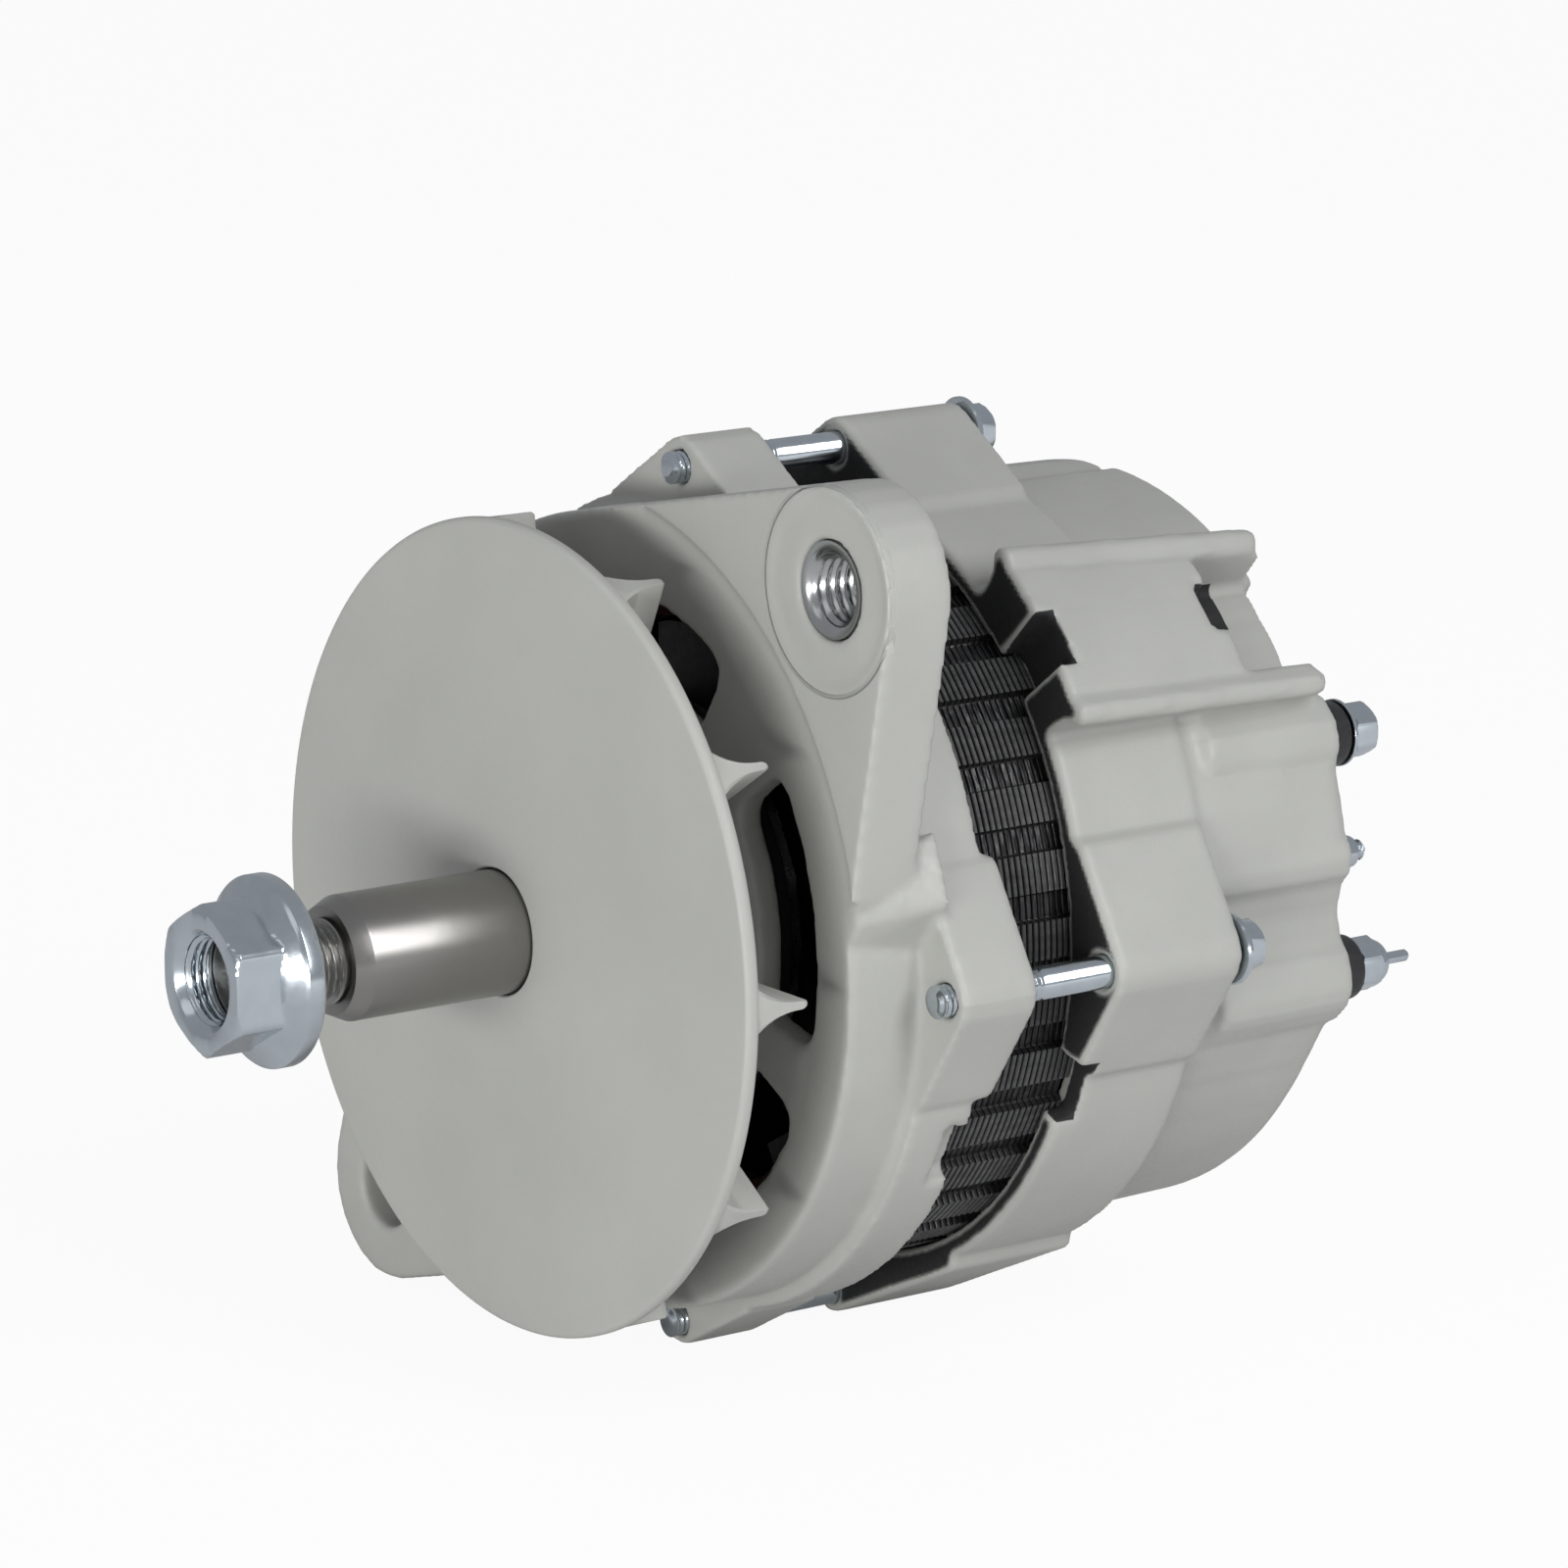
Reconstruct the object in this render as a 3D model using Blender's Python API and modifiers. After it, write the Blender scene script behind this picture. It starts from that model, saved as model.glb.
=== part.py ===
"""Heavy-duty truck alternator: two cast frames clamp a slotted stator, and a claw-pole rotor carries the fan.

The shaft lies along Y with its front end face at the origin. The fan and pulley seat are in front,
towards -Y, and +Z is up. Angles round the shaft are in degrees from +Z towards +X.
"""

import math

import bmesh
import bpy
from mathutils import Matrix, Vector

MM = 0.001
QUARTER_TURN = 90.0

# Fits
gap = 0.3 * MM
overrun = 4.0 * MM
weld_distance = 0.005 * MM

# Facets of round shapes
large_steps = 40
ear_steps = 24
medium_steps = 20
small_steps = 12
tiny_steps = 8
hexagon_steps = 6
ball_rings = 4
window_steps = 4
intake_steps = 2
corner_steps = 2
round_steps = 3

# Shaft, front to rear
shaft_radius = 11.11 * MM
thread_radius = 7.6 * MM
thread_length = 18.2 * MM
shoulder_chamfer = 1.5 * MM
shoulder_chamfer_length = 3.1 * MM
journal_length = 34.9 * MM
bearing_seat_radius = 12.5 * MM
pole_seat_radius = 14.0 * MM
ring_seat_radius = 10.0 * MM
rear_seat_radius = 8.5 * MM

# Flange nut, screwed a few turns onto the thread
nut_height = 14.9 * MM
nut_engagement = 7.9 * MM
nut_flats = 24.0 * MM
nut_flange_radius = 16.9 * MM
nut_flange_rim = 3.4 * MM
nut_cone_length = 2.6 * MM
nut_cone_radius = 12.6 * MM
nut_chamfer = 1.6 * MM
nut_mouth_radius = 9.1 * MM
nut_mouth_depth = 1.5 * MM

# Fan
fan_radius = 72.85 * MM
fan_dish = 2.5 * MM
fan_plate = 2.8 * MM
fan_rim_round = 1.0 * MM
fan_hub_radius = 19.0 * MM
fan_hub_length = 10.5 * MM
blade_count = 11
blade_first_angle = 24.5
blade_height = 10.2 * MM
blade_root = 5.0 * MM
blade_tip = 2.2 * MM
blade_inner_radius = 34.0 * MM
blade_inset = 0.4 * MM
blade_to_frame = 7.0 * MM

# Front bearing, a deep-groove ball bearing of 25 x 62 x 17
front_bearing_bore_radius = 12.5 * MM
front_bearing_radius = 31.0 * MM
front_bearing_width = 17.0 * MM
front_ball_radius = 5.6 * MM
front_ball_count = 7
spacer_wall = 5.0 * MM

# Rear bearing, a deep-groove ball bearing of 17 x 40 x 12
rear_bearing_bore_radius = 8.5 * MM
rear_bearing_radius = 20.0 * MM
rear_bearing_width = 12.0 * MM
rear_ball_radius = 3.3 * MM
rear_ball_count = 8

# Both bearings, as shares of the ball's radius
race_land_share = 0.55
cage_web_share = 0.28

# Drive end frame
bearing_lead = 3.3 * MM
dish_radius = 76.8 * MM
dish_step = 1.0 * MM
dish_depth = 4.5 * MM
dish_floor_radius = 58.6 * MM
front_wall = 5.5 * MM
winding_clearance = 2.0 * MM
drum_wall = 6.0 * MM
drum_round = 2.2 * MM
drum_length = 17.0 * MM
flange_radius = 74.0 * MM
flange_thickness = 13.0 * MM
rabbet_depth = 5.0 * MM
front_boss_radius = 39.0 * MM
front_lip = 2.7 * MM
front_lip_radius = 24.0 * MM
window_inner_radius = 41.5 * MM
window_outer_radius = 58.0 * MM
window_corner = 4.0 * MM
window_spans = ((-8.5, 32.0), (54.0, 104.0), (117.0, 165.0), (178.0, 215.0), (237.0, 284.0), (297.0, 338.5))
drain_notch_span = (112.5, 122.0)
drain_notch_depth = 4.5 * MM
drain_notch_step = 3.2 * MM

# Bolt lobes, alike on both frames
bolt_circle_radius = 78.6 * MM
bolt_radius = 2.9 * MM
lobe_tip_radius = 5.6 * MM
lobe_half_width = 21.5 * MM
lobe_shoulder = 72.2 * MM
low_lobe_tip_radius = 4.7 * MM
low_lobe_half_width = 37.5 * MM
low_lobe_shoulder = 66.0 * MM
lobe_corner = 1.5 * MM
lobe_root_share = 0.8
lobe_step = 3.0 * MM
bolt_angles = (0.0, 91.3, 181.0, 270.0)
low_bolt = 2
stud_bite = 16.0 * MM
bolt_end_length = 2.6 * MM
bolt_head_radius = 4.9 * MM
bolt_head_height = 4.2 * MM
bolt_flange_radius = 6.4 * MM
bolt_flange_height = 1.4 * MM

# Adjusting ear and its arm
ear_radius = 17.8 * MM
ear_distance = 96.8 * MM
adjusting_angle = 44.3
arm_thickness = 13.0 * MM
arm_root_radius = 4.0 * MM
arm_root_half_angle = 54.0
arm_ledge_distance = 73.4 * MM
arm_ledge_half_angle = 31.5
heel_front = ((75.4 * MM, 75.0), (74.6 * MM, 80.4), (70.8 * MM, 84.0), (62.0 * MM, 72.0))
heel_rear = ((79.0 * MM, 70.0), (80.1 * MM, 79.2), (71.4 * MM, 85.6), (62.0 * MM, 72.0))
insert_radius = 8.4 * MM
insert_bore_radius = 6.2 * MM
spot_face_radius = 16.4 * MM
spot_face_depth = 0.5 * MM

# Hinge ears, one on each frame
hinge_ear_radius = 17.5 * MM
hinge_distance = 94.3 * MM
hinge_angle = 225.8
hinge_bolt_radius = 7.7 * MM
hinge_ear_thickness = 18.0 * MM
hinge_span = 101.6 * MM
hinge_lead = 4.0 * MM
hinge_root_radius = 8.0 * MM
hinge_root_distance = 60.0 * MM
hinge_root_half_angle = 36.0
bushing_wall = 2.6 * MM

# Bearing retainer and its screws
retainer_thickness = 2.0 * MM
retainer_radius = 38.0 * MM
retainer_bore_radius = 20.0 * MM
retainer_screw_circle = 35.2 * MM
retainer_screw_radius = 1.7 * MM
retainer_screw_length = 8.0 * MM
retainer_head_radius = 2.8 * MM
retainer_head_height = 1.2 * MM
retainer_screw_angles = (43.0, 171.5, 290.5)

# Stator
stator_radius = 68.8 * MM
stator_bore_radius = 50.6 * MM
stator_length = 30.0 * MM
slot_count = 36
slot_depth = 11.0 * MM
slot_width = 3.8 * MM
slot_wedge = 1.6 * MM
rib_share = 0.57
rib_flank_share = 1.12
rib_groove_depth = 1.8 * MM
end_turn_length = 12.0 * MM
end_turn_relief = 1.4 * MM
end_turn_overhang = 1.9 * MM
end_turn_steps = 24
end_turn_round = 3.0 * MM

# Rotor
pole_radius = 50.0 * MM
pole_length = 40.0 * MM
pole_disc = 11.0 * MM
pole_core_radius = 28.0 * MM
claw_count = 6
claw_root_width = 23.0 * MM
claw_tip_width = 10.0 * MM
claw_tip_gap = 2.5 * MM
claw_inner_radius = 41.5 * MM
claw_tip_thickness = 4.5 * MM
coil_outer_radius = 40.5 * MM
ring_radius = 15.5 * MM
ring_wall = 2.4 * MM
ring_width = 6.0 * MM
ring_pitch = 8.2 * MM
ring_to_bearing = 3.0 * MM
sleeve_margin = 0.8 * MM

# Rear frame
rear_frame_length = 62.6 * MM
rear_ring_radius = 73.3 * MM
body_radii = (
    (0.0, 70.6 * MM), (32.0, 70.6 * MM), (60.0, 73.0 * MM), (98.0, 73.0 * MM), (124.0, 69.4 * MM),
    (152.0, 68.8 * MM), (250.0, 69.4 * MM), (330.0, 70.6 * MM), (360.0, 70.6 * MM),
)
body_taper = 1.0 * MM
body_round = 2.6 * MM
rear_inner_radius = 62.0 * MM
band_inner_radius = 66.4 * MM
band_inner_fade = 8.0 * MM
rear_inner_corner = 8.0 * MM
rear_wall = 5.0 * MM
band_thickness = 27.6 * MM
panel_rise = 5.3 * MM
panel_taper = 4.4 * MM
panel_setback = 3.0 * MM
panel_span = (36.0, 59.4)
bead_radius = 2.6 * MM
bead_inset = 0.4 * MM
bead_angles = (36.6, 58.8)
recess_span = (38.8, 56.2)
recess_length = 21.0 * MM
recess_floor_radius = 68.6 * MM
recess_end_step = 3.6 * MM
vent_slot_span = (43.5, 50.0)
vent_slot_length = 3.2 * MM
scallop_radius = 10.6 * MM
front_notch_span = (45.5, 52.5)
front_notch_depth = 4.2 * MM
low_notch_span = (105.5, 115.5)
rear_boss_radius = 25.5 * MM
rear_boss_length = 12.6 * MM
intake_inner_radius = 30.0 * MM
intake_outer_radius = 49.0 * MM
intake_share = 0.7
intake_count = 8
intake_corner = 2.5 * MM

# Rectifier
sink_clearance = 7.0 * MM
sink_width = 26.0 * MM
sink_plate = 4.0 * MM
sink_span = (58.0, 148.0)
sink_spacing = 9.0 * MM
sink_corner = 3.0 * MM
fin_height = 4.5 * MM
fin_thickness = 2.0 * MM
fin_angles = (64.0, 89.5, 116.5, 142.0)
diode_radius = 6.0 * MM
diode_height = 7.5 * MM
diode_angles = (76.0, 103.0, 130.0)
spacer_radius = 4.5 * MM
spacer_angles = (89.5, 116.5)

# Terminals on the rear face
terminal_circle = 65.0 * MM
output_angle = 102.5
ground_angle = 64.4
relay_angle = 83.0
relay_circle = 67.0 * MM
terminal_boss_radius = 9.4 * MM
terminal_boss_length = 30.0 * MM
stud_radius = 2.9 * MM
stud_head_radius = 5.0 * MM
stud_head_height = 2.4 * MM
insulator_radius = 6.1 * MM
insulator_neck_radius = 4.6 * MM
insulator_height = 5.2 * MM
terminal_nut_flats = 9.0 * MM
terminal_nut_height = 5.0 * MM
washer_radius = 6.1 * MM
washer_step_radius = 5.35 * MM
washer_thickness = 1.3 * MM
washer_step = 0.6 * MM
ground_stud_rise = 1.8 * MM
output_dome_height = 8.0 * MM
output_tip_radius = 1.1 * MM
output_tip_length = 6.0 * MM
relay_boss_radius = 5.5 * MM
relay_radius = 1.9 * MM
relay_head_radius = 2.9 * MM
relay_head_height = 3.2 * MM
relay_rise = 3.0 * MM
relay_depth = 4.0 * MM

# Brush gear above the slip rings
brush_length = 15.0 * MM
brush_width = 8.0 * MM
brush_thickness = 4.6 * MM
holder_wall = 1.8 * MM
holder_mouth = 1.2 * MM
holder_top = 2.0 * MM
holder_leg_height = 6.0 * MM
spring_radius = 1.9 * MM
spring_wire = 0.35 * MM
spring_turns = 4
spring_length = 9.0 * MM
spring_points_per_turn = 6

# Regulator, diode trio and capacitor
regulator_width = 34.0 * MM
regulator_height = 24.0 * MM
regulator_depth = 11.0 * MM
regulator_angle = 305.0
regulator_circle = 40.0 * MM
trio_angle = 180.0
trio_circle = 44.0 * MM
trio_width = 30.0 * MM
trio_height = 12.0 * MM
trio_depth = 9.0 * MM
capacitor_radius = 8.5 * MM
capacitor_length = 26.0 * MM
capacitor_angle = 250.0
capacitor_circle = 44.0 * MM

# Radii that follow from the pieces around them
end_turn_inner_radius = stator_bore_radius + end_turn_relief
end_turn_outer_radius = stator_bore_radius + slot_depth + end_turn_overhang
drum_radius = end_turn_outer_radius + winding_clearance + drum_wall
panel_rear_radius = rear_ring_radius + panel_rise
panel_front_radius = panel_rear_radius + panel_taper
sink_outer_radius = rear_inner_radius - sink_clearance
sink_inner_radius = sink_outer_radius - sink_width
diode_circle = sink_inner_radius + sink_width / 2
spacer_circle = sink_inner_radius + spacer_radius

# Stations along the shaft
y_fan_hub = thread_length + journal_length
y_fan_rim = y_fan_hub + fan_dish
y_fan_back = y_fan_rim + fan_plate
y_blade_edge = y_fan_back + blade_height
y_fan_hub_rear = y_fan_hub + fan_hub_length
y_arm_face = y_blade_edge + blade_to_frame
y_front_bearing = y_arm_face - bearing_lead
y_boss_rear = y_front_bearing + front_bearing_width + gap
y_front_wall = y_arm_face + dish_depth
y_flange = y_arm_face + drum_length
y_flange_rear = y_flange + flange_thickness
y_lobe_rear = y_flange_rear + lobe_step
y_stator = y_flange_rear - rabbet_depth + gap
y_stator_rear = y_stator + stator_length
y_middle = (y_stator + y_stator_rear) / 2
y_rear_frame = y_stator_rear + gap - rabbet_depth
y_band_rear = y_rear_frame + band_thickness
y_rear_face = y_rear_frame + rear_frame_length
y_panel_end = y_rear_face - panel_setback
y_rear_inner = y_rear_face - rear_wall
y_rear_bearing_end = y_rear_inner - gap
y_rear_bearing = y_rear_bearing_end - rear_bearing_width
y_rear_ring = y_rear_bearing - ring_to_bearing - ring_width
y_front_ring = y_rear_ring - ring_pitch
y_hinge_front = y_arm_face - hinge_lead
y_hinge_rear = y_hinge_front + hinge_span
y_negative_sink = y_rear_inner - gap - sink_plate
y_positive_sink = y_negative_sink - sink_spacing - sink_plate

# Bodies whose many flush faces the exact solver leaves open
CROWDED_BODIES = ("shaft_nut", "drive_end_frame", "rear_frame", "front_pole_piece", "rear_pole_piece")

FINISHES = {
    "paint": ((0.37, 0.38, 0.35), 0.55, 0.0),
    "dark_steel": ((0.16, 0.155, 0.15), 0.25, 1.0),
    "zinc": ((0.62, 0.68, 0.72), 0.25, 1.0),
    "steel": ((0.45, 0.45, 0.44), 0.35, 1.0),
    "lacquer": ((0.012, 0.012, 0.013), 0.45, 0.0),
    "copper": ((0.55, 0.22, 0.12), 0.3, 1.0),
    "iron": ((0.10, 0.10, 0.10), 0.5, 1.0),
    "plastic": ((0.015, 0.015, 0.016), 0.5, 0.0),
    "aluminium": ((0.55, 0.56, 0.57), 0.4, 1.0),
    "carbon": ((0.03, 0.03, 0.03), 0.7, 0.0),
}


def clear_scene():
    for obj in list(bpy.data.objects):
        bpy.data.objects.remove(obj, do_unlink=True)


def new_collection(name):
    collection = bpy.data.collections.new(name)
    bpy.context.scene.collection.children.link(collection)
    return collection


def material_for(name, finish):
    colour, roughness, metallic = FINISHES[finish]
    made = bpy.data.materials.new(name + "_" + finish)
    made.use_nodes = True
    shader = made.node_tree.nodes["Principled BSDF"]
    shader.inputs["Base Color"].default_value = (*colour, 1.0)
    shader.inputs["Roughness"].default_value = roughness
    shader.inputs["Metallic"].default_value = metallic
    made.diffuse_color = (*colour, 1.0)
    return made


def tool(name, mesh):
    """An object that only shapes a part: it is drawn as wire and left out of the part."""
    obj = bpy.data.objects.new(name, mesh)
    tools.objects.link(obj)
    obj.display_type = "WIRE"
    obj.hide_render = True
    return obj


def part(obj, name, finish):
    """Turns a shaped object into a named part with a material of its own."""
    tools.objects.unlink(obj)
    parts.objects.link(obj)
    obj.name = name
    obj.display_type = "TEXTURED"
    obj.hide_render = False
    obj.data.materials.clear()
    obj.data.materials.append(material_for(name, finish))
    return obj


def beside(radius, reach, degrees):
    """A point out along an angle and then a reach to its side, square to it."""
    x, z = polar(radius, degrees)
    dx, dz = polar(reach, degrees + QUARTER_TURN)
    return x + dx, z + dz


def polar(radius, degrees):
    """The X and Z of a point that lies at an angle from +Z towards +X."""
    angle = math.radians(degrees)
    return radius * math.sin(angle), radius * math.cos(angle)


def turned(name, profile, steps):
    """A solid turned about the Y axis from (radius, y) points: a closed ring, or ends on the axis."""
    ring = profile[0][0] > 0
    mesh = bpy.data.meshes.new(name)
    edges = [(i, i + 1) for i in range(len(profile) - 1)]
    if ring:
        edges.append((len(profile) - 1, 0))
    mesh.from_pydata([(radius, y, 0) for radius, y in profile], edges, [])
    obj = tool(name, mesh)
    screw = obj.modifiers.new("turn", "SCREW")
    screw.axis = "Y"
    screw.steps = steps
    screw.render_steps = steps
    screw.use_merge_vertices = True
    screw.merge_threshold = weld_distance
    screw.use_smooth_shade = True
    area = sum(
        r0 * y1 - r1 * y0 for (r0, y0), (r1, y1) in zip(profile, profile[1:] + profile[:1])
    )
    screw.use_normal_flip = area > 0
    return obj


def ring_profile(inner, outer, y_front, y_rear):
    """The profile of a plain ring, for turning."""
    return [(inner, y_front), (outer, y_front), (outer, y_rear), (inner, y_rear)]


def extruded(name, outlines, y_front, y_rear):
    """Flat outlines of (x, z) points, the first solid and the others holes, drawn out between stations."""
    curve = bpy.data.curves.new(name, "CURVE")
    curve.dimensions = "2D"
    curve.fill_mode = "BOTH"
    curve.extrude = (y_rear - y_front) / 2
    for outline in outlines:
        spline = curve.splines.new("POLY")
        spline.points.add(len(outline) - 1)
        for point, (x, z) in zip(spline.points, outline):
            point.co = (x, z, 0, 1)
        spline.use_cyclic_u = True
    drawn = bpy.data.objects.new(name + "_outline", curve)
    drawn.rotation_euler = (math.pi / 2, 0, 0)
    drawn.location = (0, (y_front + y_rear) / 2, 0)
    return meshed(name, drawn)


def meshed(name, drawn):
    """The welded mesh of a curve object, which is removed."""
    tools.objects.link(drawn)
    bpy.context.view_layer.update()
    graph = bpy.context.evaluated_depsgraph_get()
    mesh = bpy.data.meshes.new_from_object(drawn.evaluated_get(graph))
    work = bmesh.new()
    work.from_mesh(mesh)
    bmesh.ops.remove_doubles(work, verts=work.verts, dist=weld_distance)
    bmesh.ops.recalc_face_normals(work, faces=work.faces)
    work.to_mesh(mesh)
    work.free()
    obj = tool(name, mesh)
    obj.matrix_world = drawn.matrix_world.copy()
    curve = drawn.data
    bpy.data.objects.remove(drawn)
    bpy.data.curves.remove(curve)
    return obj


def block(name, low, high):
    work = bmesh.new()
    bmesh.ops.create_cube(work, size=1)
    size = [b - a for a, b in zip(low, high)]
    middle = [(a + b) / 2 for a, b in zip(low, high)]
    bmesh.ops.scale(work, vec=size, verts=work.verts)
    bmesh.ops.translate(work, vec=middle, verts=work.verts)
    mesh = bpy.data.meshes.new(name)
    work.to_mesh(mesh)
    work.free()
    return tool(name, mesh)


def rod(name, radius, y_front, y_rear, centre=(0, 0), steps=small_steps, rear_radius=None):
    """A round bar along Y, tapered when its rear radius is given."""
    work = bmesh.new()
    bmesh.ops.create_cone(
        work,
        cap_ends=True,
        segments=steps,
        radius1=radius if rear_radius is None else rear_radius,
        radius2=radius,
        depth=y_rear - y_front,
        matrix=Matrix.Translation((centre[0], (y_front + y_rear) / 2, centre[1]))
        @ Matrix.Rotation(math.pi / 2, 4, "X"),
    )
    mesh = bpy.data.meshes.new(name)
    work.to_mesh(mesh)
    work.free()
    return tool(name, mesh)


def hexagon(name, flats, y_front, y_rear, centre=(0, 0)):
    return rod(name, flats / math.sqrt(3), y_front, y_rear, centre, hexagon_steps)


def mesh_tool(name, work):
    """A tool object from a finished bmesh, its faces turned outwards."""
    bmesh.ops.recalc_face_normals(work, faces=work.faces)
    mesh = bpy.data.meshes.new(name)
    work.to_mesh(mesh)
    work.free()
    return tool(name, mesh)


def bridge(work, first, last):
    """A closed prism between two rings of vertices."""
    work.faces.new(first)
    work.faces.new(last[::-1])
    for i in range(len(first)):
        j = (i + 1) % len(first)
        work.faces.new((first[i], last[i], last[j], first[j]))


def ball(work, radius, centre):
    bmesh.ops.create_uvsphere(
        work, u_segments=tiny_steps, v_segments=ball_rings, radius=radius, matrix=Matrix.Translation(centre)
    )


def combine(body, operation, *others):
    for other in others:
        step = body.modifiers.new(other.name, "BOOLEAN")
        step.operation = operation
        step.solver = "MANIFOLD" if body.name in CROWDED_BODIES else "EXACT"
        step.object = other
        step.show_viewport = False
        step.show_render = False
    return body


def join(body, *others):
    return combine(body, "UNION", *others)


def cut(body, *others):
    return combine(body, "DIFFERENCE", *others)


def keep(body, other):
    return combine(body, "INTERSECT", other)


def hull(circles, steps):
    """The convex outline that encloses circles given as (x, z, radius), like a belt round pulleys."""
    points = set()
    for x, z, radius in circles:
        for i in range(steps):
            dx, dz = polar(radius, 360 * i / steps)
            points.add((x + dx, z + dz))
    points = sorted(points)

    def chain(ordered):
        kept = []
        for p in ordered:
            while len(kept) > 1:
                (ax, az), (bx, bz) = kept[-2], kept[-1]
                if (bx - ax) * (p[1] - az) - (bz - az) * (p[0] - ax) > 0:
                    break
                kept.pop()
            kept.append(p)
        return kept[:-1]

    return chain(points) + chain(points[::-1])


def arc(radius, start, end, steps, centre=(0, 0)):
    """Points on an arc, its angles in degrees from +Z towards +X."""
    points = []
    for i in range(steps + 1):
        x, z = polar(radius, start + (end - start) * i / steps)
        points.append((centre[0] + x, centre[1] + z))
    return points


def window(inner, outer, start, end, corner, steps=window_steps):
    """A ring sector with rounded corners."""
    out_turn = math.degrees(math.asin(corner / (outer - corner)))
    in_turn = math.degrees(math.asin(corner / (inner + corner)))
    points = arc(outer, start + out_turn, end - out_turn, steps)[1:-1]
    for radius, angle, first, last in (
        (outer - corner, end - out_turn, end - out_turn, end + QUARTER_TURN),
        (inner + corner, end - in_turn, end + QUARTER_TURN, end + 2 * QUARTER_TURN - in_turn),
    ):
        points += arc(corner, first, last, corner_steps, polar(radius, angle))
    points += arc(inner, end - in_turn, start + in_turn, steps)[1:-1]
    for radius, angle, first, last in (
        (inner + corner, start + in_turn, start + in_turn - 2 * QUARTER_TURN, start - QUARTER_TURN),
        (outer - corner, start + out_turn, start - QUARTER_TURN, start + out_turn),
    ):
        points += arc(corner, first, last, corner_steps, polar(radius, angle))
    return points


def wedge(name, start, end, y_front, y_rear, reach, steps=small_steps):
    """A pie slice about the shaft, used to keep or cut an angle of a turned shape."""
    return extruded(name, [[(0, 0)] + arc(reach, start, end, steps)], y_front, y_rear)


def sector(name, inner, outer, start, end, y_front, y_rear):
    """A ring sector with sharp corners, used as a cutter."""
    outline = arc(inner, start, end, window_steps) + arc(outer, end, start, window_steps)
    return extruded(name, [outline], y_front, y_rear)


def profile_round(radius, y, size, start, end, steps=round_steps):
    """Points of a fillet in a turned profile, about a centre (radius, y); 0 degrees points outwards."""
    points = []
    for i in range(steps + 1):
        angle = math.radians(start + (end - start) * i / steps)
        points.append((radius + size * math.cos(angle), y + size * math.sin(angle)))
    return points


def switch_on_booleans():
    """They stay off while the shapes are drawn, so that each is worked out only once."""
    for obj in bpy.data.objects:
        for step in obj.modifiers:
            step.show_viewport = True
            step.show_render = True


def make_shaft():
    y_front_seat = y_front_bearing - gap
    y_pole_seat = y_boss_rear + retainer_thickness
    y_ring_seat = y_middle + pole_length / 2 + gap
    y_rear_seat = y_rear_bearing - gap
    shaft = turned(
        "rotor_shaft",
        [
            (0, 0),
            (thread_radius - shoulder_chamfer / 2, 0),
            (thread_radius, shoulder_chamfer / 2),
            (thread_radius, thread_length),
            (shaft_radius - shoulder_chamfer, thread_length),
            (shaft_radius, thread_length + shoulder_chamfer_length),
            (shaft_radius, y_front_seat),
            (bearing_seat_radius, y_front_seat),
            (bearing_seat_radius, y_pole_seat),
            (pole_seat_radius, y_pole_seat),
            (pole_seat_radius, y_ring_seat),
            (ring_seat_radius, y_ring_seat),
            (ring_seat_radius, y_rear_seat),
            (rear_seat_radius, y_rear_seat),
            (rear_seat_radius, y_rear_bearing_end),
            (0, y_rear_bearing_end),
        ],
        medium_steps,
    )
    part(shaft, "rotor_shaft", "dark_steel")


def make_nut():
    """A hexagon with a rounded front, on a flange with a sloping shoulder, open right through."""
    y_seat = nut_engagement
    y_front = y_seat - nut_height
    y_rim = y_seat - nut_flange_rim
    corner = nut_flats / math.sqrt(3)
    bore = thread_radius + gap
    nut = hexagon("shaft_nut", nut_flats, y_front - overrun, y_rim)
    envelope = turned(
        "nut_envelope",
        [
            (0, y_front),
            (corner - nut_chamfer, y_front),
            (corner + nut_chamfer, y_front + nut_chamfer),
            (corner + nut_chamfer, y_rim + overrun),
            (0, y_rim + overrun),
        ],
        medium_steps,
    )
    flange = turned(
        "nut_flange",
        [
            (0, y_rim - nut_cone_length),
            (nut_cone_radius, y_rim - nut_cone_length),
            (nut_flange_radius, y_rim),
            (nut_flange_radius, y_seat),
            (0, y_seat),
        ],
        medium_steps,
    )
    hole = turned(
        "nut_bore",
        [
            (0, y_front - overrun),
            (nut_mouth_radius, y_front - overrun),
            (nut_mouth_radius, y_front),
            (bore, y_front + nut_mouth_depth),
            (bore, y_seat + overrun),
            (0, y_seat + overrun),
        ],
        small_steps,
    )
    keep(nut, envelope)
    join(nut, flange)
    cut(nut, hole)
    part(nut, "shaft_nut", "zinc")


def fan_face(radius):
    """The fan's front surface: a flat seat for the pulley at the hub, then a shallow cone back to the rim."""
    share = (fan_radius - radius) / (fan_radius - fan_hub_radius)
    return y_fan_rim - fan_dish * min(share, 1)


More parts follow.
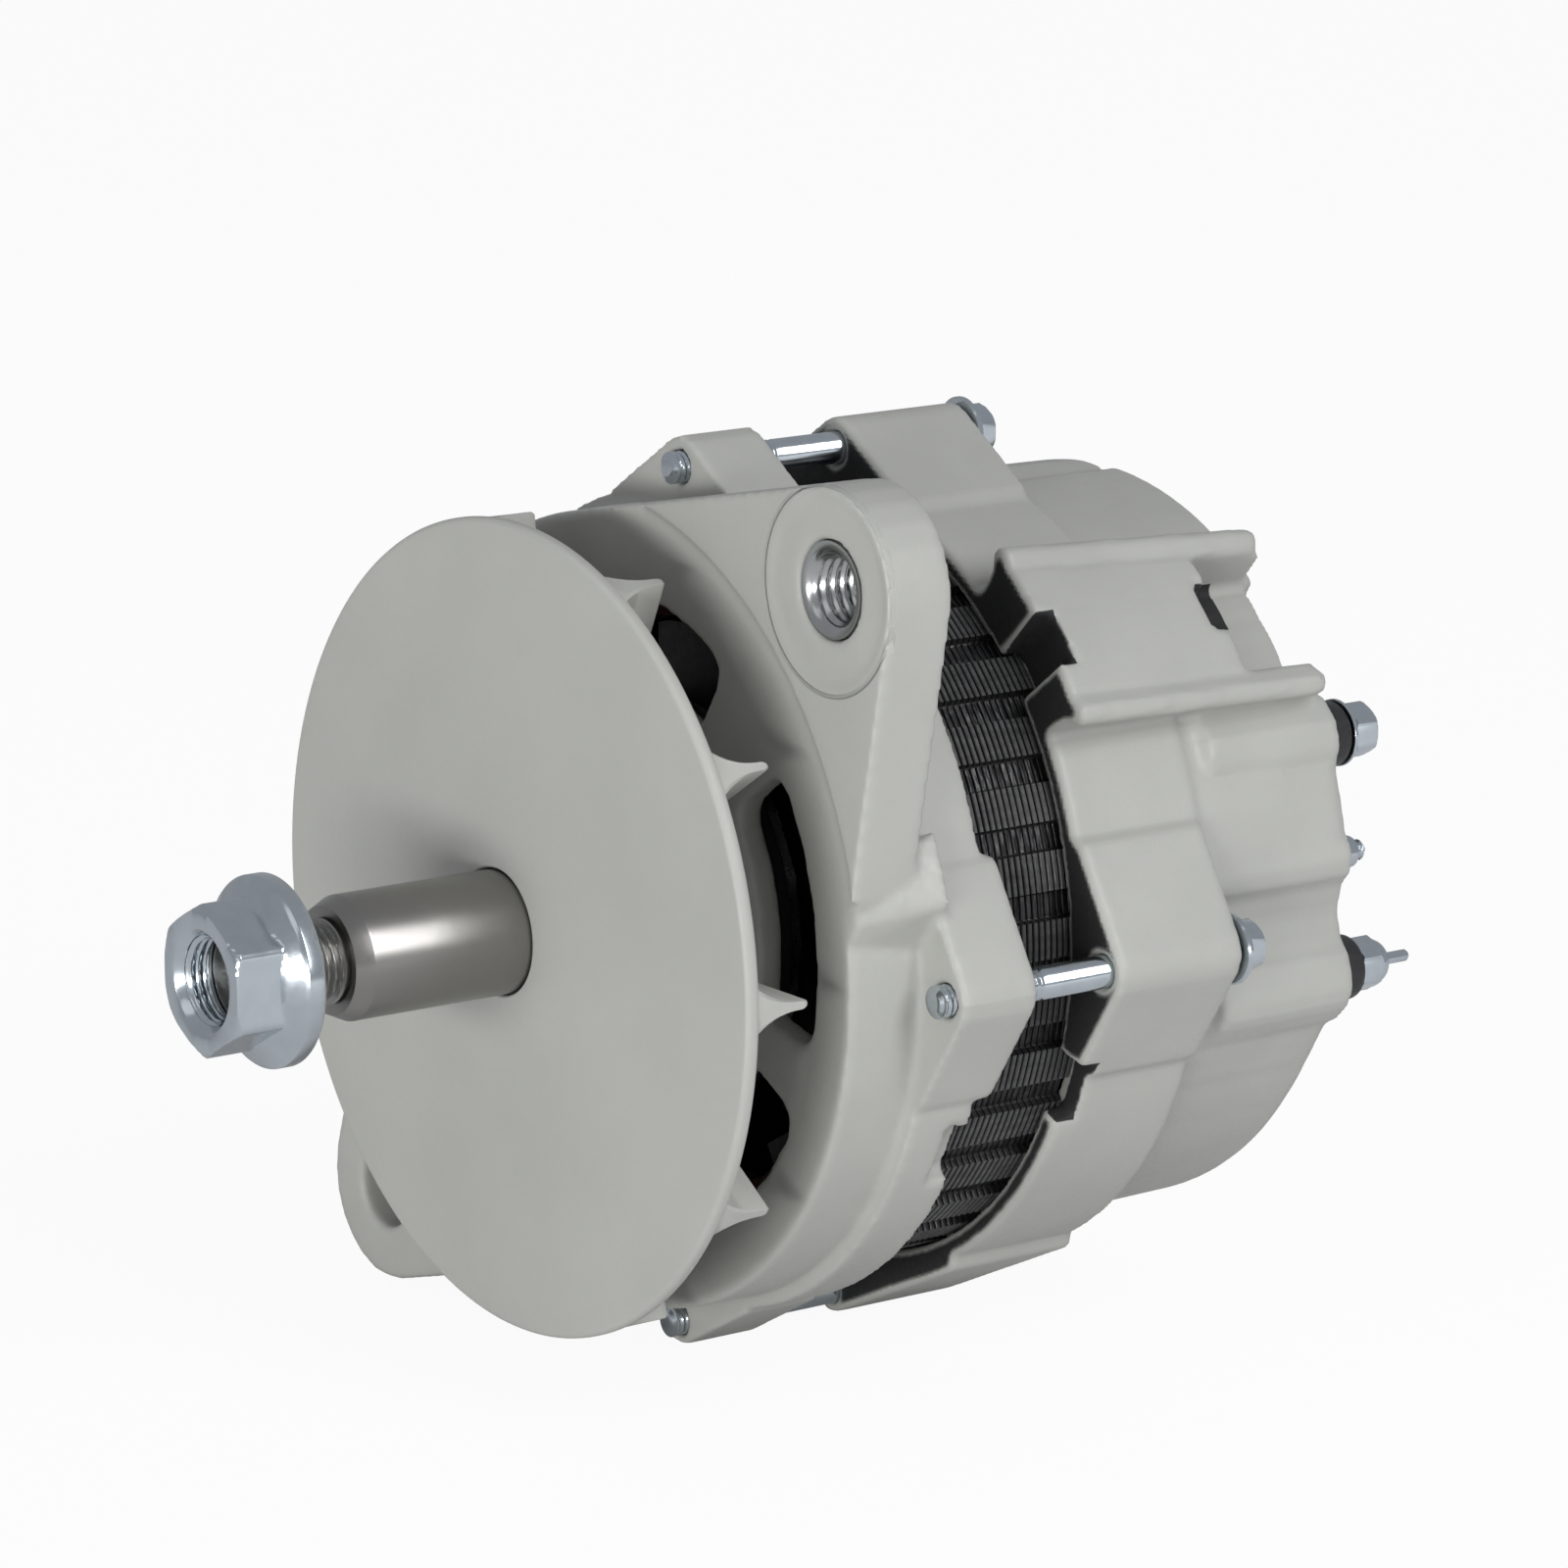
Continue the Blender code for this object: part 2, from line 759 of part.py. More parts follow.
def make_fan():
    """A plate with a hub, and wedge-shaped blades that stand on its rear face."""
    bore = shaft_radius + gap
    rim = fan_radius - fan_rim_round
    profile = [(radius, fan_face(radius)) for radius in (bore, fan_hub_radius, rim)]
    profile += profile_round(rim, y_fan_rim + fan_rim_round, fan_rim_round, -QUARTER_TURN / 2, 0, 1)
    profile += profile_round(rim, y_fan_back - fan_rim_round, fan_rim_round, 0, QUARTER_TURN, 1)
    profile += [(fan_hub_radius, y_fan_back), (fan_hub_radius, y_fan_hub_rear), (bore, y_fan_hub_rear)]
    fan = turned("cooling_fan", profile, blade_count * 4)
    edge = blade_tip / 2
    outline = [
        (-blade_root / 2, y_fan_back - fan_plate / 2),
        (-edge, y_blade_edge - edge),
        (-edge / 2, y_blade_edge),
        (edge / 2, y_blade_edge),
        (edge, y_blade_edge - edge),
        (blade_root / 2, y_fan_back - fan_plate / 2),
    ]
    blades = bmesh.new()
    for number in range(blade_count):
        turn = Matrix.Rotation(math.radians(blade_first_angle + 360 * number / blade_count), 4, "Y")
        ends = []
        for radius in (blade_inner_radius, fan_radius - blade_inset):
            ends.append([blades.verts.new(turn @ Vector((x, y, radius))) for x, y in outline])
        bridge(blades, *ends)
    join(fan, mesh_tool("fan_blades", blades))
    part(fan, "cooling_fan", "paint")


def make_spacer():
    bore = shaft_radius + gap
    y_front = y_fan_hub_rear + gap
    y_rear = y_front_bearing - 2 * gap
    part(
        turned("fan_spacer", ring_profile(bore, bore + spacer_wall, y_front, y_rear), medium_steps),
        "fan_spacer", "steel",
    )


def make_bearing(name, bore_radius, outer_radius, y_front, width, ball_radius, ball_count):
    """Two grooved races, and the balls held by their cage as one turning set."""
    bore = bore_radius + gap
    pitch = (bore + outer_radius) / 2
    y_mid = y_front + width / 2
    y_rear = y_front + width
    groove = ball_radius + gap
    land = ball_radius * race_land_share
    depth = math.sqrt(groove * groove - land * land)
    turns = math.degrees(math.atan2(land, depth))

    def groove_points(side):
        points = []
        for i in range(3):
            angle = math.radians(turns * (i - 1))
            reach = math.sqrt(groove * groove - (groove * math.sin(angle)) ** 2)
            points.append((pitch + side * reach, y_mid + groove * math.sin(angle)))
        return points

    half = groove * math.sin(math.radians(turns))
    shoulder = groove * math.cos(math.radians(turns))
    inner = [(bore, y_front), (pitch - shoulder, y_front)] + groove_points(-1)
    inner += [(pitch - shoulder, y_rear), (bore, y_rear)]
    part(turned(name + "_inner_race", inner, medium_steps), name + "_inner_race", "steel")
    outer = [(outer_radius, y_front), (outer_radius, y_rear), (pitch + shoulder, y_rear)]
    outer += groove_points(1)[::-1] + [(pitch + shoulder, y_front)]
    part(turned(name + "_outer_race", outer, medium_steps), name + "_outer_race", "steel")
    web = ball_radius * cage_web_share
    cage = turned(
        name + "_cage",
        ring_profile(pitch - web, pitch + web, y_mid - half / 2, y_mid + half / 2),
        ball_count * 2,
    )
    work = bmesh.new()
    for number in range(ball_count):
        x, z = polar(pitch, 360 * number / ball_count)
        ball(work, ball_radius, (x, y_mid, z))
    join(cage, mesh_tool(name + "_balls", work))
    part(cage, name + "_ball_cage", "steel")


def bolt_lobes(name, y_front, y_rear, low_half_width, low_shoulder):
    """The four three-cornered lobes that the through bolts pass, as outlines round the bolt holes."""
    lobes = []
    for number, angle in enumerate(bolt_angles):
        low = number == low_bolt
        half_width = low_half_width if low else lobe_half_width
        shoulder = low_shoulder if low else lobe_shoulder
        circles = [(*polar(bolt_circle_radius, angle), low_lobe_tip_radius if low else lobe_tip_radius)]
        for side in (-1, 1):
            for depth in (shoulder - lobe_corner, shoulder * lobe_root_share):
                circles.append((*beside(depth, side * (half_width - lobe_corner), angle), lobe_corner))
        lobes.append(extruded(f"{name}_lobe_{number}", [hull(circles, small_steps)], y_front, y_rear))
    return lobes


def bolt_holes(name, y_front, y_rear, radius):
    holes = []
    for number, angle in enumerate(bolt_angles):
        centre = polar(bolt_circle_radius, angle)
        holes.append(rod(f"{name}_{number}", radius, y_front, y_rear, centre, tiny_steps))
    return holes


def ear_arm(name, ear, roots, root_radius, y_front, y_rear):
    """An ear with straight flanks, like a belt round three pulleys; places are (radius, angle)."""
    circles = [(*polar(*ear[:2]), ear[2])]
    circles += [(*polar(*root), root_radius) for root in roots]
    return extruded(name, [hull(circles, ear_steps)], y_front, y_rear)


def hinge_ear(name, y_front):
    """The lower ear, alike on both frames."""
    roots = [(hinge_root_distance, hinge_angle + side * hinge_root_half_angle) for side in (-1, 1)]
    ear = (hinge_distance, hinge_angle, hinge_ear_radius)
    return ear_arm(name, ear, roots, hinge_root_radius, y_front, y_front + hinge_ear_thickness)


def adjusting_arm():
    """The upper ear's arm: one flank runs onto the drum, and the other ends in a ledge above the lobe."""
    roots = (
        (drum_radius - arm_root_radius, adjusting_angle - arm_root_half_angle),
        (arm_ledge_distance, adjusting_angle + arm_ledge_half_angle),
    )
    ear = (ear_distance, adjusting_angle, ear_radius)
    return ear_arm("adjusting_arm", ear, roots, arm_root_radius, y_arm_face, y_arm_face + arm_thickness)


def arm_heel():
    """The foot of the arm's ledge, which widens on its way back to the flange."""
    work = bmesh.new()
    ends = []
    for y, corners in ((y_arm_face + drum_round, heel_front), (y_flange + lobe_corner, heel_rear)):
        ring = []
        for radius, angle in corners:
            x, z = polar(radius, angle)
            ring.append(work.verts.new((x, y, z)))
        ends.append(ring)
    bridge(work, *ends)
    return mesh_tool("arm_heel", work)


def make_drive_end_frame():
    y_drum = y_arm_face + dish_step
    outer = [(0, y_front_bearing - gap - front_lip), (front_boss_radius, y_front_bearing - gap - front_lip)]
    outer += [(front_boss_radius, y_drum + drum_round)]
    outer += profile_round(drum_radius - drum_round, y_drum + drum_round, drum_round, -QUARTER_TURN, 0)
    outer += [
        (drum_radius, y_flange), (flange_radius, y_flange), (flange_radius, y_flange_rear),
        (0, y_flange_rear),
    ]
    frame = turned("drive_end_frame", outer, large_steps)
    join(frame, *bolt_lobes("front", y_flange, y_lobe_rear, lobe_half_width, lobe_shoulder))
    join(frame, adjusting_arm(), arm_heel(), hinge_ear("front_hinge_ear", y_hinge_front))
    dish = turned(
        "dish",
        [
            (front_boss_radius, y_hinge_front - overrun),
            (dish_radius, y_hinge_front - overrun),
            (dish_radius, y_drum),
            (dish_floor_radius, y_front_wall),
            (front_boss_radius, y_front_wall),
        ],
        large_steps,
    )
    cavity = turned(
        "front_cavity",
        [
            (0, y_boss_rear),
            (front_boss_radius, y_boss_rear),
            (front_boss_radius, y_front_wall + front_wall),
            (dish_floor_radius, y_front_wall + front_wall),
            (drum_radius - drum_wall, y_flange),
            (drum_radius - drum_wall, y_lobe_rear + overrun),
            (0, y_lobe_rear + overrun),
        ],
        slot_count,
    )
    y_seat = y_flange_rear - rabbet_depth
    rabbet = rod("front_rabbet", stator_radius + gap, y_seat, y_lobe_rear + overrun, steps=large_steps)
    y_pocket = y_front_bearing - gap
    pocket = rod(
        "front_pocket", front_bearing_radius + gap, y_pocket, y_boss_rear + overrun, steps=medium_steps,
    )
    y_lip = y_pocket - front_lip - overrun
    lip = rod("front_lip", front_lip_radius, y_lip, y_front_bearing + overrun, steps=medium_steps)
    cut(frame, dish, cavity, rabbet, pocket, lip)
    for number, (start, end) in enumerate(window_spans):
        outline = window(window_inner_radius, window_outer_radius, start, end, window_corner)
        y_through = y_front_wall + front_wall + overrun
        cut(frame, extruded(f"window_{number}", [outline], y_arm_face - overrun, y_through))
    cut(frame, *bolt_holes("front_bolt_hole", y_flange - overrun, y_lobe_rear + overrun, bolt_radius + gap))
    y_tap = y_boss_rear - retainer_screw_length
    cut(frame, *retainer_holes("retainer_tap", retainer_screw_radius + gap, y_tap, y_boss_rear + overrun))
    ear = polar(ear_distance, adjusting_angle)
    y_front = y_arm_face - overrun
    y_rear = y_arm_face + arm_thickness + overrun
    cut(frame, rod("insert_bore", insert_radius + gap, y_front, y_rear, ear, medium_steps))
    cut(frame, rod("spot_face", spot_face_radius, y_front, y_arm_face + spot_face_depth, ear, ear_steps))
    cut(frame, hinge_bore("front_hinge_bore", hinge_bolt_radius, y_hinge_front))
    start, end = drain_notch_span
    inner = flange_radius - drain_notch_step
    notch = window(inner, flange_radius + overrun, start, end, lobe_corner)
    cut(frame, extruded("drain_notch", [notch], y_flange_rear - drain_notch_depth, y_flange_rear + overrun))
    part(frame, "drive_end_frame", "paint")


def hinge_bore(name, radius, y_ear):
    """The hinge bolt's hole through an ear whose front face is at a station."""
    place = polar(hinge_distance, hinge_angle)
    return rod(name, radius, y_ear - overrun, y_ear + hinge_ear_thickness + overrun, place, medium_steps)


def retainer_holes(name, radius, y_front, y_rear):
    holes = []
    for number, angle in enumerate(retainer_screw_angles):
        centre = polar(retainer_screw_circle, angle)
        holes.append(rod(f"{name}_{number}", radius, y_front, y_rear, centre, tiny_steps))
    return holes


def make_retainer():
    y_front = y_boss_rear + gap
    y_rear = y_front + retainer_thickness
    ring = ring_profile(retainer_bore_radius, retainer_radius, y_front, y_rear)
    plate = turned("bearing_retainer", ring, medium_steps)
    cut(
        plate,
        *retainer_holes("retainer_hole", retainer_screw_radius + gap, y_front - overrun, y_rear + overrun),
    )
    part(plate, "bearing_retainer", "steel")
    for number, angle in enumerate(retainer_screw_angles, 1):
        centre = polar(retainer_screw_circle, angle)
        y_seat = y_rear + gap
        y_tip = y_boss_rear - retainer_screw_length + gap
        name = f"retainer_screw_{number}"
        y_top = y_seat + retainer_head_height
        shank = rod(name, retainer_screw_radius, y_tip, y_seat + retainer_head_height / 2, centre, tiny_steps)
        join(shank, rod(name + "_head", retainer_head_radius, y_seat, y_top, centre, tiny_steps))
        part(shank, name, "zinc")


def make_insert():
    """The steel thread insert of the adjusting ear."""
    ear = polar(ear_distance, adjusting_angle)
    y_front = y_arm_face + spot_face_depth + gap
    y_rear = y_arm_face + arm_thickness
    insert = rod("adjusting_ear_insert", insert_radius, y_front, y_rear, ear, medium_steps)
    cut(
        insert,
        rod("insert_hole", insert_bore_radius, y_front - overrun, y_rear + overrun, ear, medium_steps),
    )
    part(insert, "adjusting_ear_insert", "zinc")


def make_stator():
    """Laminations with an open slot for each coil side, and a rib between grooves behind each slot."""
    pitch = 360 / slot_count
    rib = pitch * rib_share / 2
    outer = []
    inner = []
    for number in range(slot_count):
        middle = pitch * number
        outer += arc(stator_radius, middle - rib, middle + rib, 1)
        start = rib * rib_flank_share
        outer += arc(stator_radius - rib_groove_depth, middle + start, middle + pitch - start, 1)
        slot = middle + pitch / 2
        for radius, side in ((0, -1), (slot_depth, -1), (slot_depth, 1), (0, 1)):
            inner.append(beside(stator_bore_radius + radius, side * slot_width / 2, slot))
    part(extruded("stator_core", [outer, inner], y_stator, y_stator_rear), "stator_core", "lacquer")


def make_winding():
    """The coil sides that fill the slots, joined at both ends by the bundled end turns."""
    def end_turns(name, y_near, y_far):
        side = 1 if y_far > y_near else -1
        crown = y_far - side * end_turn_round
        return turned(
            name,
            [
                (end_turn_inner_radius, y_near),
                (end_turn_outer_radius, y_near),
                (end_turn_outer_radius, crown),
                (end_turn_outer_radius - end_turn_round, y_far),
                (end_turn_inner_radius + end_turn_round, y_far),
                (end_turn_inner_radius, crown),
            ],
            end_turn_steps,
        )

    winding = end_turns("stator_winding", y_stator - gap, y_stator - end_turn_length)
    join(winding, end_turns("rear_end_turns", y_stator_rear + gap, y_stator_rear + end_turn_length))
    work = bmesh.new()
    pitch = 360 / slot_count
    low = stator_bore_radius + slot_wedge + gap
    high = stator_bore_radius + slot_depth - gap
    width = slot_width - 2 * gap
    for number in range(slot_count):
        turn = Matrix.Rotation(math.radians(pitch * (number + 1 / 2)), 4, "Y")
        made = bmesh.ops.create_cube(work, size=1)["verts"]
        bmesh.ops.scale(work, vec=(width, stator_length + 4 * gap, high - low), verts=made)
        bmesh.ops.translate(work, vec=(0, y_middle, (low + high) / 2), verts=made)
        bmesh.ops.transform(work, matrix=turn, verts=made)
    join(winding, mesh_tool("coil_sides", work))
    part(winding, "stator_winding", "copper")


def make_pole(name, side, offset):
    """A disc with tapering claws that reach over the coil towards the other pole."""
    y_back = y_middle - side * pole_length / 2
    y_disc = y_back + side * pole_disc
    y_meet = y_middle - side * gap / 2
    y_tip = y_middle + side * (pole_length / 2 - claw_tip_gap)

    def spread(a, b):
        return (a, b) if a < b else (b, a)

    half = claw_root_width / 2
    step = 360 / claw_count
    valley = half / math.sin(math.radians(step / 2))
    star = []
    for number in range(claw_count):
        angle = offset + step * number
        star += [beside(pole_radius + gap, -half, angle), beside(pole_radius + gap, half, angle)]
        star.append(polar(valley, angle + step / 2))
    pole = extruded(name, [star], *spread(y_back, y_disc))
    core = rod(
        name + "_core", pole_core_radius, *spread(y_back + side * pole_disc / 2, y_meet), steps=medium_steps,
    )
    work = bmesh.new()
    for number in range(claw_count):
        angle = offset + step * number
        ends = []
        for y, side_reach, inner in (
            (y_disc - side * overrun / 2, half, claw_inner_radius),
            (y_tip, claw_tip_width / 2, pole_radius - claw_tip_thickness),
        ):
            outer = pole_radius + gap * 2
            ring = ((inner, -side_reach), (inner, side_reach), (outer, side_reach), (outer, -side_reach))
            corners = [beside(radius, reach, angle) for radius, reach in ring]
            ends.append([work.verts.new((x, y, z)) for x, z in corners])
        bridge(work, *ends)
    claws = mesh_tool(name + "_claws", work)
    turning = rod(
        name + "_turning", pole_radius, *spread(y_back - side * overrun, y_tip + side * overrun),
        steps=large_steps,
    )
    bore = rod(
        name + "_bore", pole_seat_radius + gap, *spread(
            y_back - side * overrun, y_tip + side * overrun,
        ), steps=medium_steps
    )
    join(pole, core, claws)
    keep(pole, turning)
    cut(pole, bore)
    part(pole, name, "iron")


def make_rotor_inside():
    make_pole("front_pole_piece", 1, 0)
    make_pole("rear_pole_piece", -1, 2 * QUARTER_TURN / claw_count)
    y_low = y_middle - pole_length / 2 + pole_disc + gap
    y_high = y_middle + pole_length / 2 - pole_disc - gap
    inner = pole_core_radius + gap
    coil = ring_profile(inner, coil_outer_radius, y_low, y_high)
    part(turned("field_coil", coil, medium_steps), "field_coil", "copper")
    sleeve_inner = ring_seat_radius + gap
    sleeve_outer = ring_radius - ring_wall - gap
    y_sleeve = y_front_ring - sleeve_margin
    y_sleeve_end = y_rear_ring + ring_width + sleeve_margin
    sleeve = ring_profile(sleeve_inner, sleeve_outer, y_sleeve, y_sleeve_end)
    part(turned("slip_ring_sleeve", sleeve, medium_steps), "slip_ring_sleeve", "plastic")
    for name, y in (("front_slip_ring", y_front_ring), ("rear_slip_ring", y_rear_ring)):
        ring = ring_profile(ring_radius - ring_wall, ring_radius, y, y + ring_width)
        part(turned(name, ring, medium_steps), name, "copper")


def body_radius(degrees):
    """The rear body's radius at an angle: it eases from one named radius to the next."""
    for (start, near), (end, far) in zip(body_radii, body_radii[1:]):
        if degrees <= end:
            share = (1 - math.cos(math.pi * (degrees - start) / (end - start))) / 2
            return near + (far - near) * share
    return body_radii[0][1]


def rear_shell():
    """The outside of the rear housing before it is cored: a band with lobes, and a body that isn't round."""
    shell = rod("rear_frame", rear_ring_radius, y_rear_frame, y_band_rear, steps=large_steps)
    soft = body_round * (1 - math.cos(math.radians(QUARTER_TURN / 2)))
    work = bmesh.new()
    rings = []
    for y, inset in (
        (y_rear_frame + gap, 0),
        (y_rear_face - body_round, body_taper),
        (y_rear_face - soft, body_taper + soft),
        (y_rear_face, body_taper + body_round),
    ):
        ring = []
        for step in range(large_steps):
            angle = 360 * step / large_steps
            x, z = polar(body_radius(angle) - inset, angle)
            ring.append(work.verts.new((x, y, z)))
        rings.append(ring)
    work.faces.new(rings[0])
    work.faces.new(rings[-1][::-1])
    for near, far in zip(rings, rings[1:]):
        for i in range(large_steps):
            j = (i + 1) % large_steps
            work.faces.new((near[i], far[i], far[j], near[j]))
    lobes = bolt_lobes("rear", y_rear_frame, y_band_rear, low_lobe_half_width, low_lobe_shoulder)
    return join(shell, mesh_tool("rear_body", work), *lobes)


def taper_radius(y):
    """The radius of the raised panel, which narrows evenly towards the rear."""
    share = (y - y_rear_frame) / (y_panel_end - y_rear_frame)
    return panel_front_radius + (panel_rear_radius - panel_front_radius) * share


def bead(name, angle):
    """A rounded rib along the panel's edge, ending in a rounded horn at the rear rim."""
    ends = []
    for y in (y_rear_frame + bead_inset, y_panel_end - bead_radius):
        x, z = polar(taper_radius(y) - bead_radius / 2, angle)
        ends.append(Vector((x, y, z)))
    along = ends[1] - ends[0]
    work = bmesh.new()
    bmesh.ops.create_cone(
        work,
        cap_ends=True,
        segments=tiny_steps,
        radius1=bead_radius,
        radius2=bead_radius,
        depth=along.length,
        matrix=Matrix.Translation(
            (ends[0] + ends[1]) / 2
        ) @ along.to_track_quat("Z", "Y").to_matrix().to_4x4(),
    )
    rib = mesh_tool(name, work)
    work = bmesh.new()
    ball(work, bead_radius, ends[1])
    return rib, mesh_tool(name + "_horn", work)


def raised_panel():
    panel = turned(
        "raised_panel",
        [
            (0, y_rear_frame),
            (panel_front_radius, y_rear_frame),
            (taper_radius(y_panel_end - bead_radius), y_panel_end - bead_radius),
            (taper_radius(y_panel_end) - bead_radius, y_panel_end),
            (0, y_panel_end),
        ],
        large_steps,
    )
    reach = panel_front_radius + overrun
    slice_of_panel = wedge("panel_wedge", *panel_span, y_rear_frame - overrun, y_rear_face + overrun, reach)
    return keep(panel, slice_of_panel)


def terminal_place(angle):
    return polar(terminal_circle, angle)


def make_rear_frame():
    frame = rear_shell()
    join(frame, raised_panel(), *bead("bead_upper", bead_angles[0]), *bead("bead_lower", bead_angles[1]))
    y_boss = y_rear_face - terminal_boss_length
    y_behind = y_rear_face + overrun
    for name, angle, circle, radius in (
        ("output_boss", output_angle, terminal_circle, terminal_boss_radius),
        ("ground_boss", ground_angle, terminal_circle, terminal_boss_radius),
        ("relay_boss", relay_angle, relay_circle, relay_boss_radius),
    ):
        join(frame, rod(name, radius, y_boss, y_rear_face, polar(circle, angle), small_steps))
    join(frame, hinge_ear("rear_hinge_ear", y_hinge_rear - hinge_ear_thickness))
    y_front = y_rear_frame - overrun
    core = [(0, y_front), (band_inner_radius, y_front), (band_inner_radius, y_band_rear - band_inner_fade)]
    core += [(rear_inner_radius, y_band_rear)]
    corner = rear_inner_corner
    core += profile_round(rear_inner_radius - corner, y_rear_inner - corner, corner, 0, QUARTER_TURN)
    core += [(0, y_rear_inner)]
    rabbet = rod("rear_rabbet", stator_radius + gap, y_front, y_rear_frame + rabbet_depth, steps=large_steps)
    cut(frame, turned("rear_cavity", core, slot_count), rabbet)
    y_boss_front = y_rear_inner - rear_boss_length
    join(frame, rod("rear_boss", rear_boss_radius, y_boss_front, y_rear_face - gap, steps=medium_steps))
    y_pocket = y_boss_front - overrun
    cut(frame, rod("rear_pocket", rear_bearing_radius + gap, y_pocket, y_rear_inner, steps=medium_steps))
    pocket_radius = terminal_boss_radius - holder_wall
    for name, angle in (("output_pocket", output_angle), ("ground_pocket", ground_angle)):
        place = terminal_place(angle)
        root = polar(sink_outer_radius - pocket_radius, angle)
        outline = hull([(*place, pocket_radius), (*root, pocket_radius)], small_steps)
        cut(frame, extruded(name, [outline], y_boss + rear_wall, y_rear_inner))
        neck = insulator_neck_radius + gap
        cut(frame, rod(name + "_hole", neck, y_rear_inner - overrun, y_behind, place, small_steps))
    place = polar(relay_circle, relay_angle)
    cut(
        frame,
        rod("relay_tap", relay_radius + gap, y_rear_face - relay_depth - gap, y_behind, place, tiny_steps),
    )
    for number, angle in enumerate(bolt_angles):
        centre = polar(bolt_circle_radius, angle)
        if number == low_bolt:
            y_hole_end = y_rear_frame + stud_bite + gap
        else:
            y_hole_end = y_band_rear + overrun
            cut(frame, rod(f"scallop_{number}", scallop_radius, y_band_rear, y_behind, centre, small_steps))
        cut(
            frame,
            rod(f"rear_bolt_hole_{number}", bolt_radius + gap, y_front, y_hole_end, centre, tiny_steps),
        )
    start, end = recess_span
    y_recess = y_rear_face - recess_length
    reach = panel_front_radius + overrun
    recess = sector("recess", recess_floor_radius, reach, start, end, y_recess, y_behind)
    end_radius = recess_floor_radius - recess_end_step
    cut(frame, sector("recess_end", end_radius, reach, start, end, y_panel_end, y_behind))
    start, end = vent_slot_span
    y_slot = y_recess - vent_slot_length
    slot = sector("vent_slot", rear_inner_radius - overrun, reach, start, end, y_slot, y_recess + gap)
    cut(frame, recess, slot)
    for name, (start, end) in (("front_notch", front_notch_span), ("low_notch", low_notch_span)):
        y_notch = y_rear_frame + front_notch_depth
        cut(frame, sector(name, stator_radius - overrun, reach, start, end, y_front, y_notch))
    bush_radius = hinge_bolt_radius + bushing_wall
    cut(frame, hinge_bore("rear_hinge_bore", bush_radius + gap, y_hinge_rear - hinge_ear_thickness))
    pitch = 360 / intake_count
    for number in range(intake_count):
        start = pitch * (number + (1 - intake_share) / 2)
        end = start + pitch * intake_share
        outline = window(intake_inner_radius, intake_outer_radius, start, end, intake_corner, intake_steps)
        cut(frame, extruded(f"intake_{number}", [outline], y_rear_inner - overrun, y_behind))
    part(frame, "rear_frame", "paint")


def make_bushing():
    """The steel bush of the rear hinge ear, which takes up the bracket's length."""
    place = polar(hinge_distance, hinge_angle)
    y_front = y_hinge_rear - hinge_ear_thickness
    bush = rod("hinge_bushing", hinge_bolt_radius + bushing_wall, y_front, y_hinge_rear, place, medium_steps)
    cut(bush, hinge_bore("bushing_hole", hinge_bolt_radius, y_front))
    part(bush, "hinge_bushing", "steel")


def make_through_bolts():
    """Three bolts with their heads at the rear, and at the bottom a stud that ends inside the rear lobe."""
    y_head = y_band_rear + gap
    y_flange_top = y_head + bolt_flange_height
    y_top = y_flange_top + bolt_head_height
    y_tip = y_flange - bolt_end_length
    for number, angle in enumerate(bolt_angles):
        centre = polar(bolt_circle_radius, angle)
        name = f"through_bolt_{number + 1}"
        if number == low_bolt:
            bolt = rod(name, bolt_radius, y_tip, y_rear_frame + stud_bite, centre, small_steps)
        else:
            y_inside = (y_head + y_flange_top) / 2
            bolt = rod(name, bolt_radius, y_tip, y_inside, centre, small_steps)
            join(bolt, rod(name + "_flange", bolt_flange_radius, y_head, y_flange_top, centre, small_steps))
            join(bolt, rod(name + "_head", bolt_head_radius, y_inside, y_top, centre, hexagon_steps))
        part(bolt, name, "zinc")


def make_heat_sink(name, y_plate, lug_angle, clear_angle, fins):
    """A plate with holes for its diodes, a lug for its terminal stud, and fins when it stands free."""
    start, end = sink_span
    y_rear = y_plate + sink_plate
    sink = extruded(
        name, [window(sink_inner_radius, sink_outer_radius, start, end, sink_corner)], y_plate, y_rear,
    )
    place = terminal_place(lug_angle)
    root = polar(sink_outer_radius - stud_head_radius * 2, lug_angle)
    lug = hull([(*place, stud_head_radius), (*root, stud_head_radius)], small_steps)
    join(sink, extruded(name + "_lug", [lug], y_plate, y_rear))
    for number, angle in enumerate(fin_angles if fins else ()):
        fin = block(
            f"{name}_fin_{number}",
            (-fin_thickness / 2, y_plate - fin_height, sink_inner_radius + sink_corner),
            (fin_thickness / 2, y_plate + sink_plate / 2, sink_outer_radius - sink_corner),
        )
        fin.data.transform(Matrix.Rotation(math.radians(angle), 4, "Y"))
        join(sink, fin)
    for number, angle in enumerate(diode_angles):
        centre = polar(diode_circle, angle)
        seat = rod(f"{name}_seat_{number}", diode_radius + gap, y_plate - overrun, y_rear + overrun, centre)
        cut(sink, seat)
    cut(sink, rod(name + "_stud_hole", stud_radius + gap, y_plate - overrun, y_rear + overrun, place))
    if clear_angle is not None:
        outer = polar(terminal_circle, clear_angle)
        inner = polar(sink_outer_radius, clear_angle)
        clear = hull([(*outer, stud_head_radius), (*inner, stud_head_radius)], small_steps)
        cut(sink, extruded(name + "_clearance", [clear], y_plate - overrun, y_rear + overrun))
    part(sink, name, "aluminium")


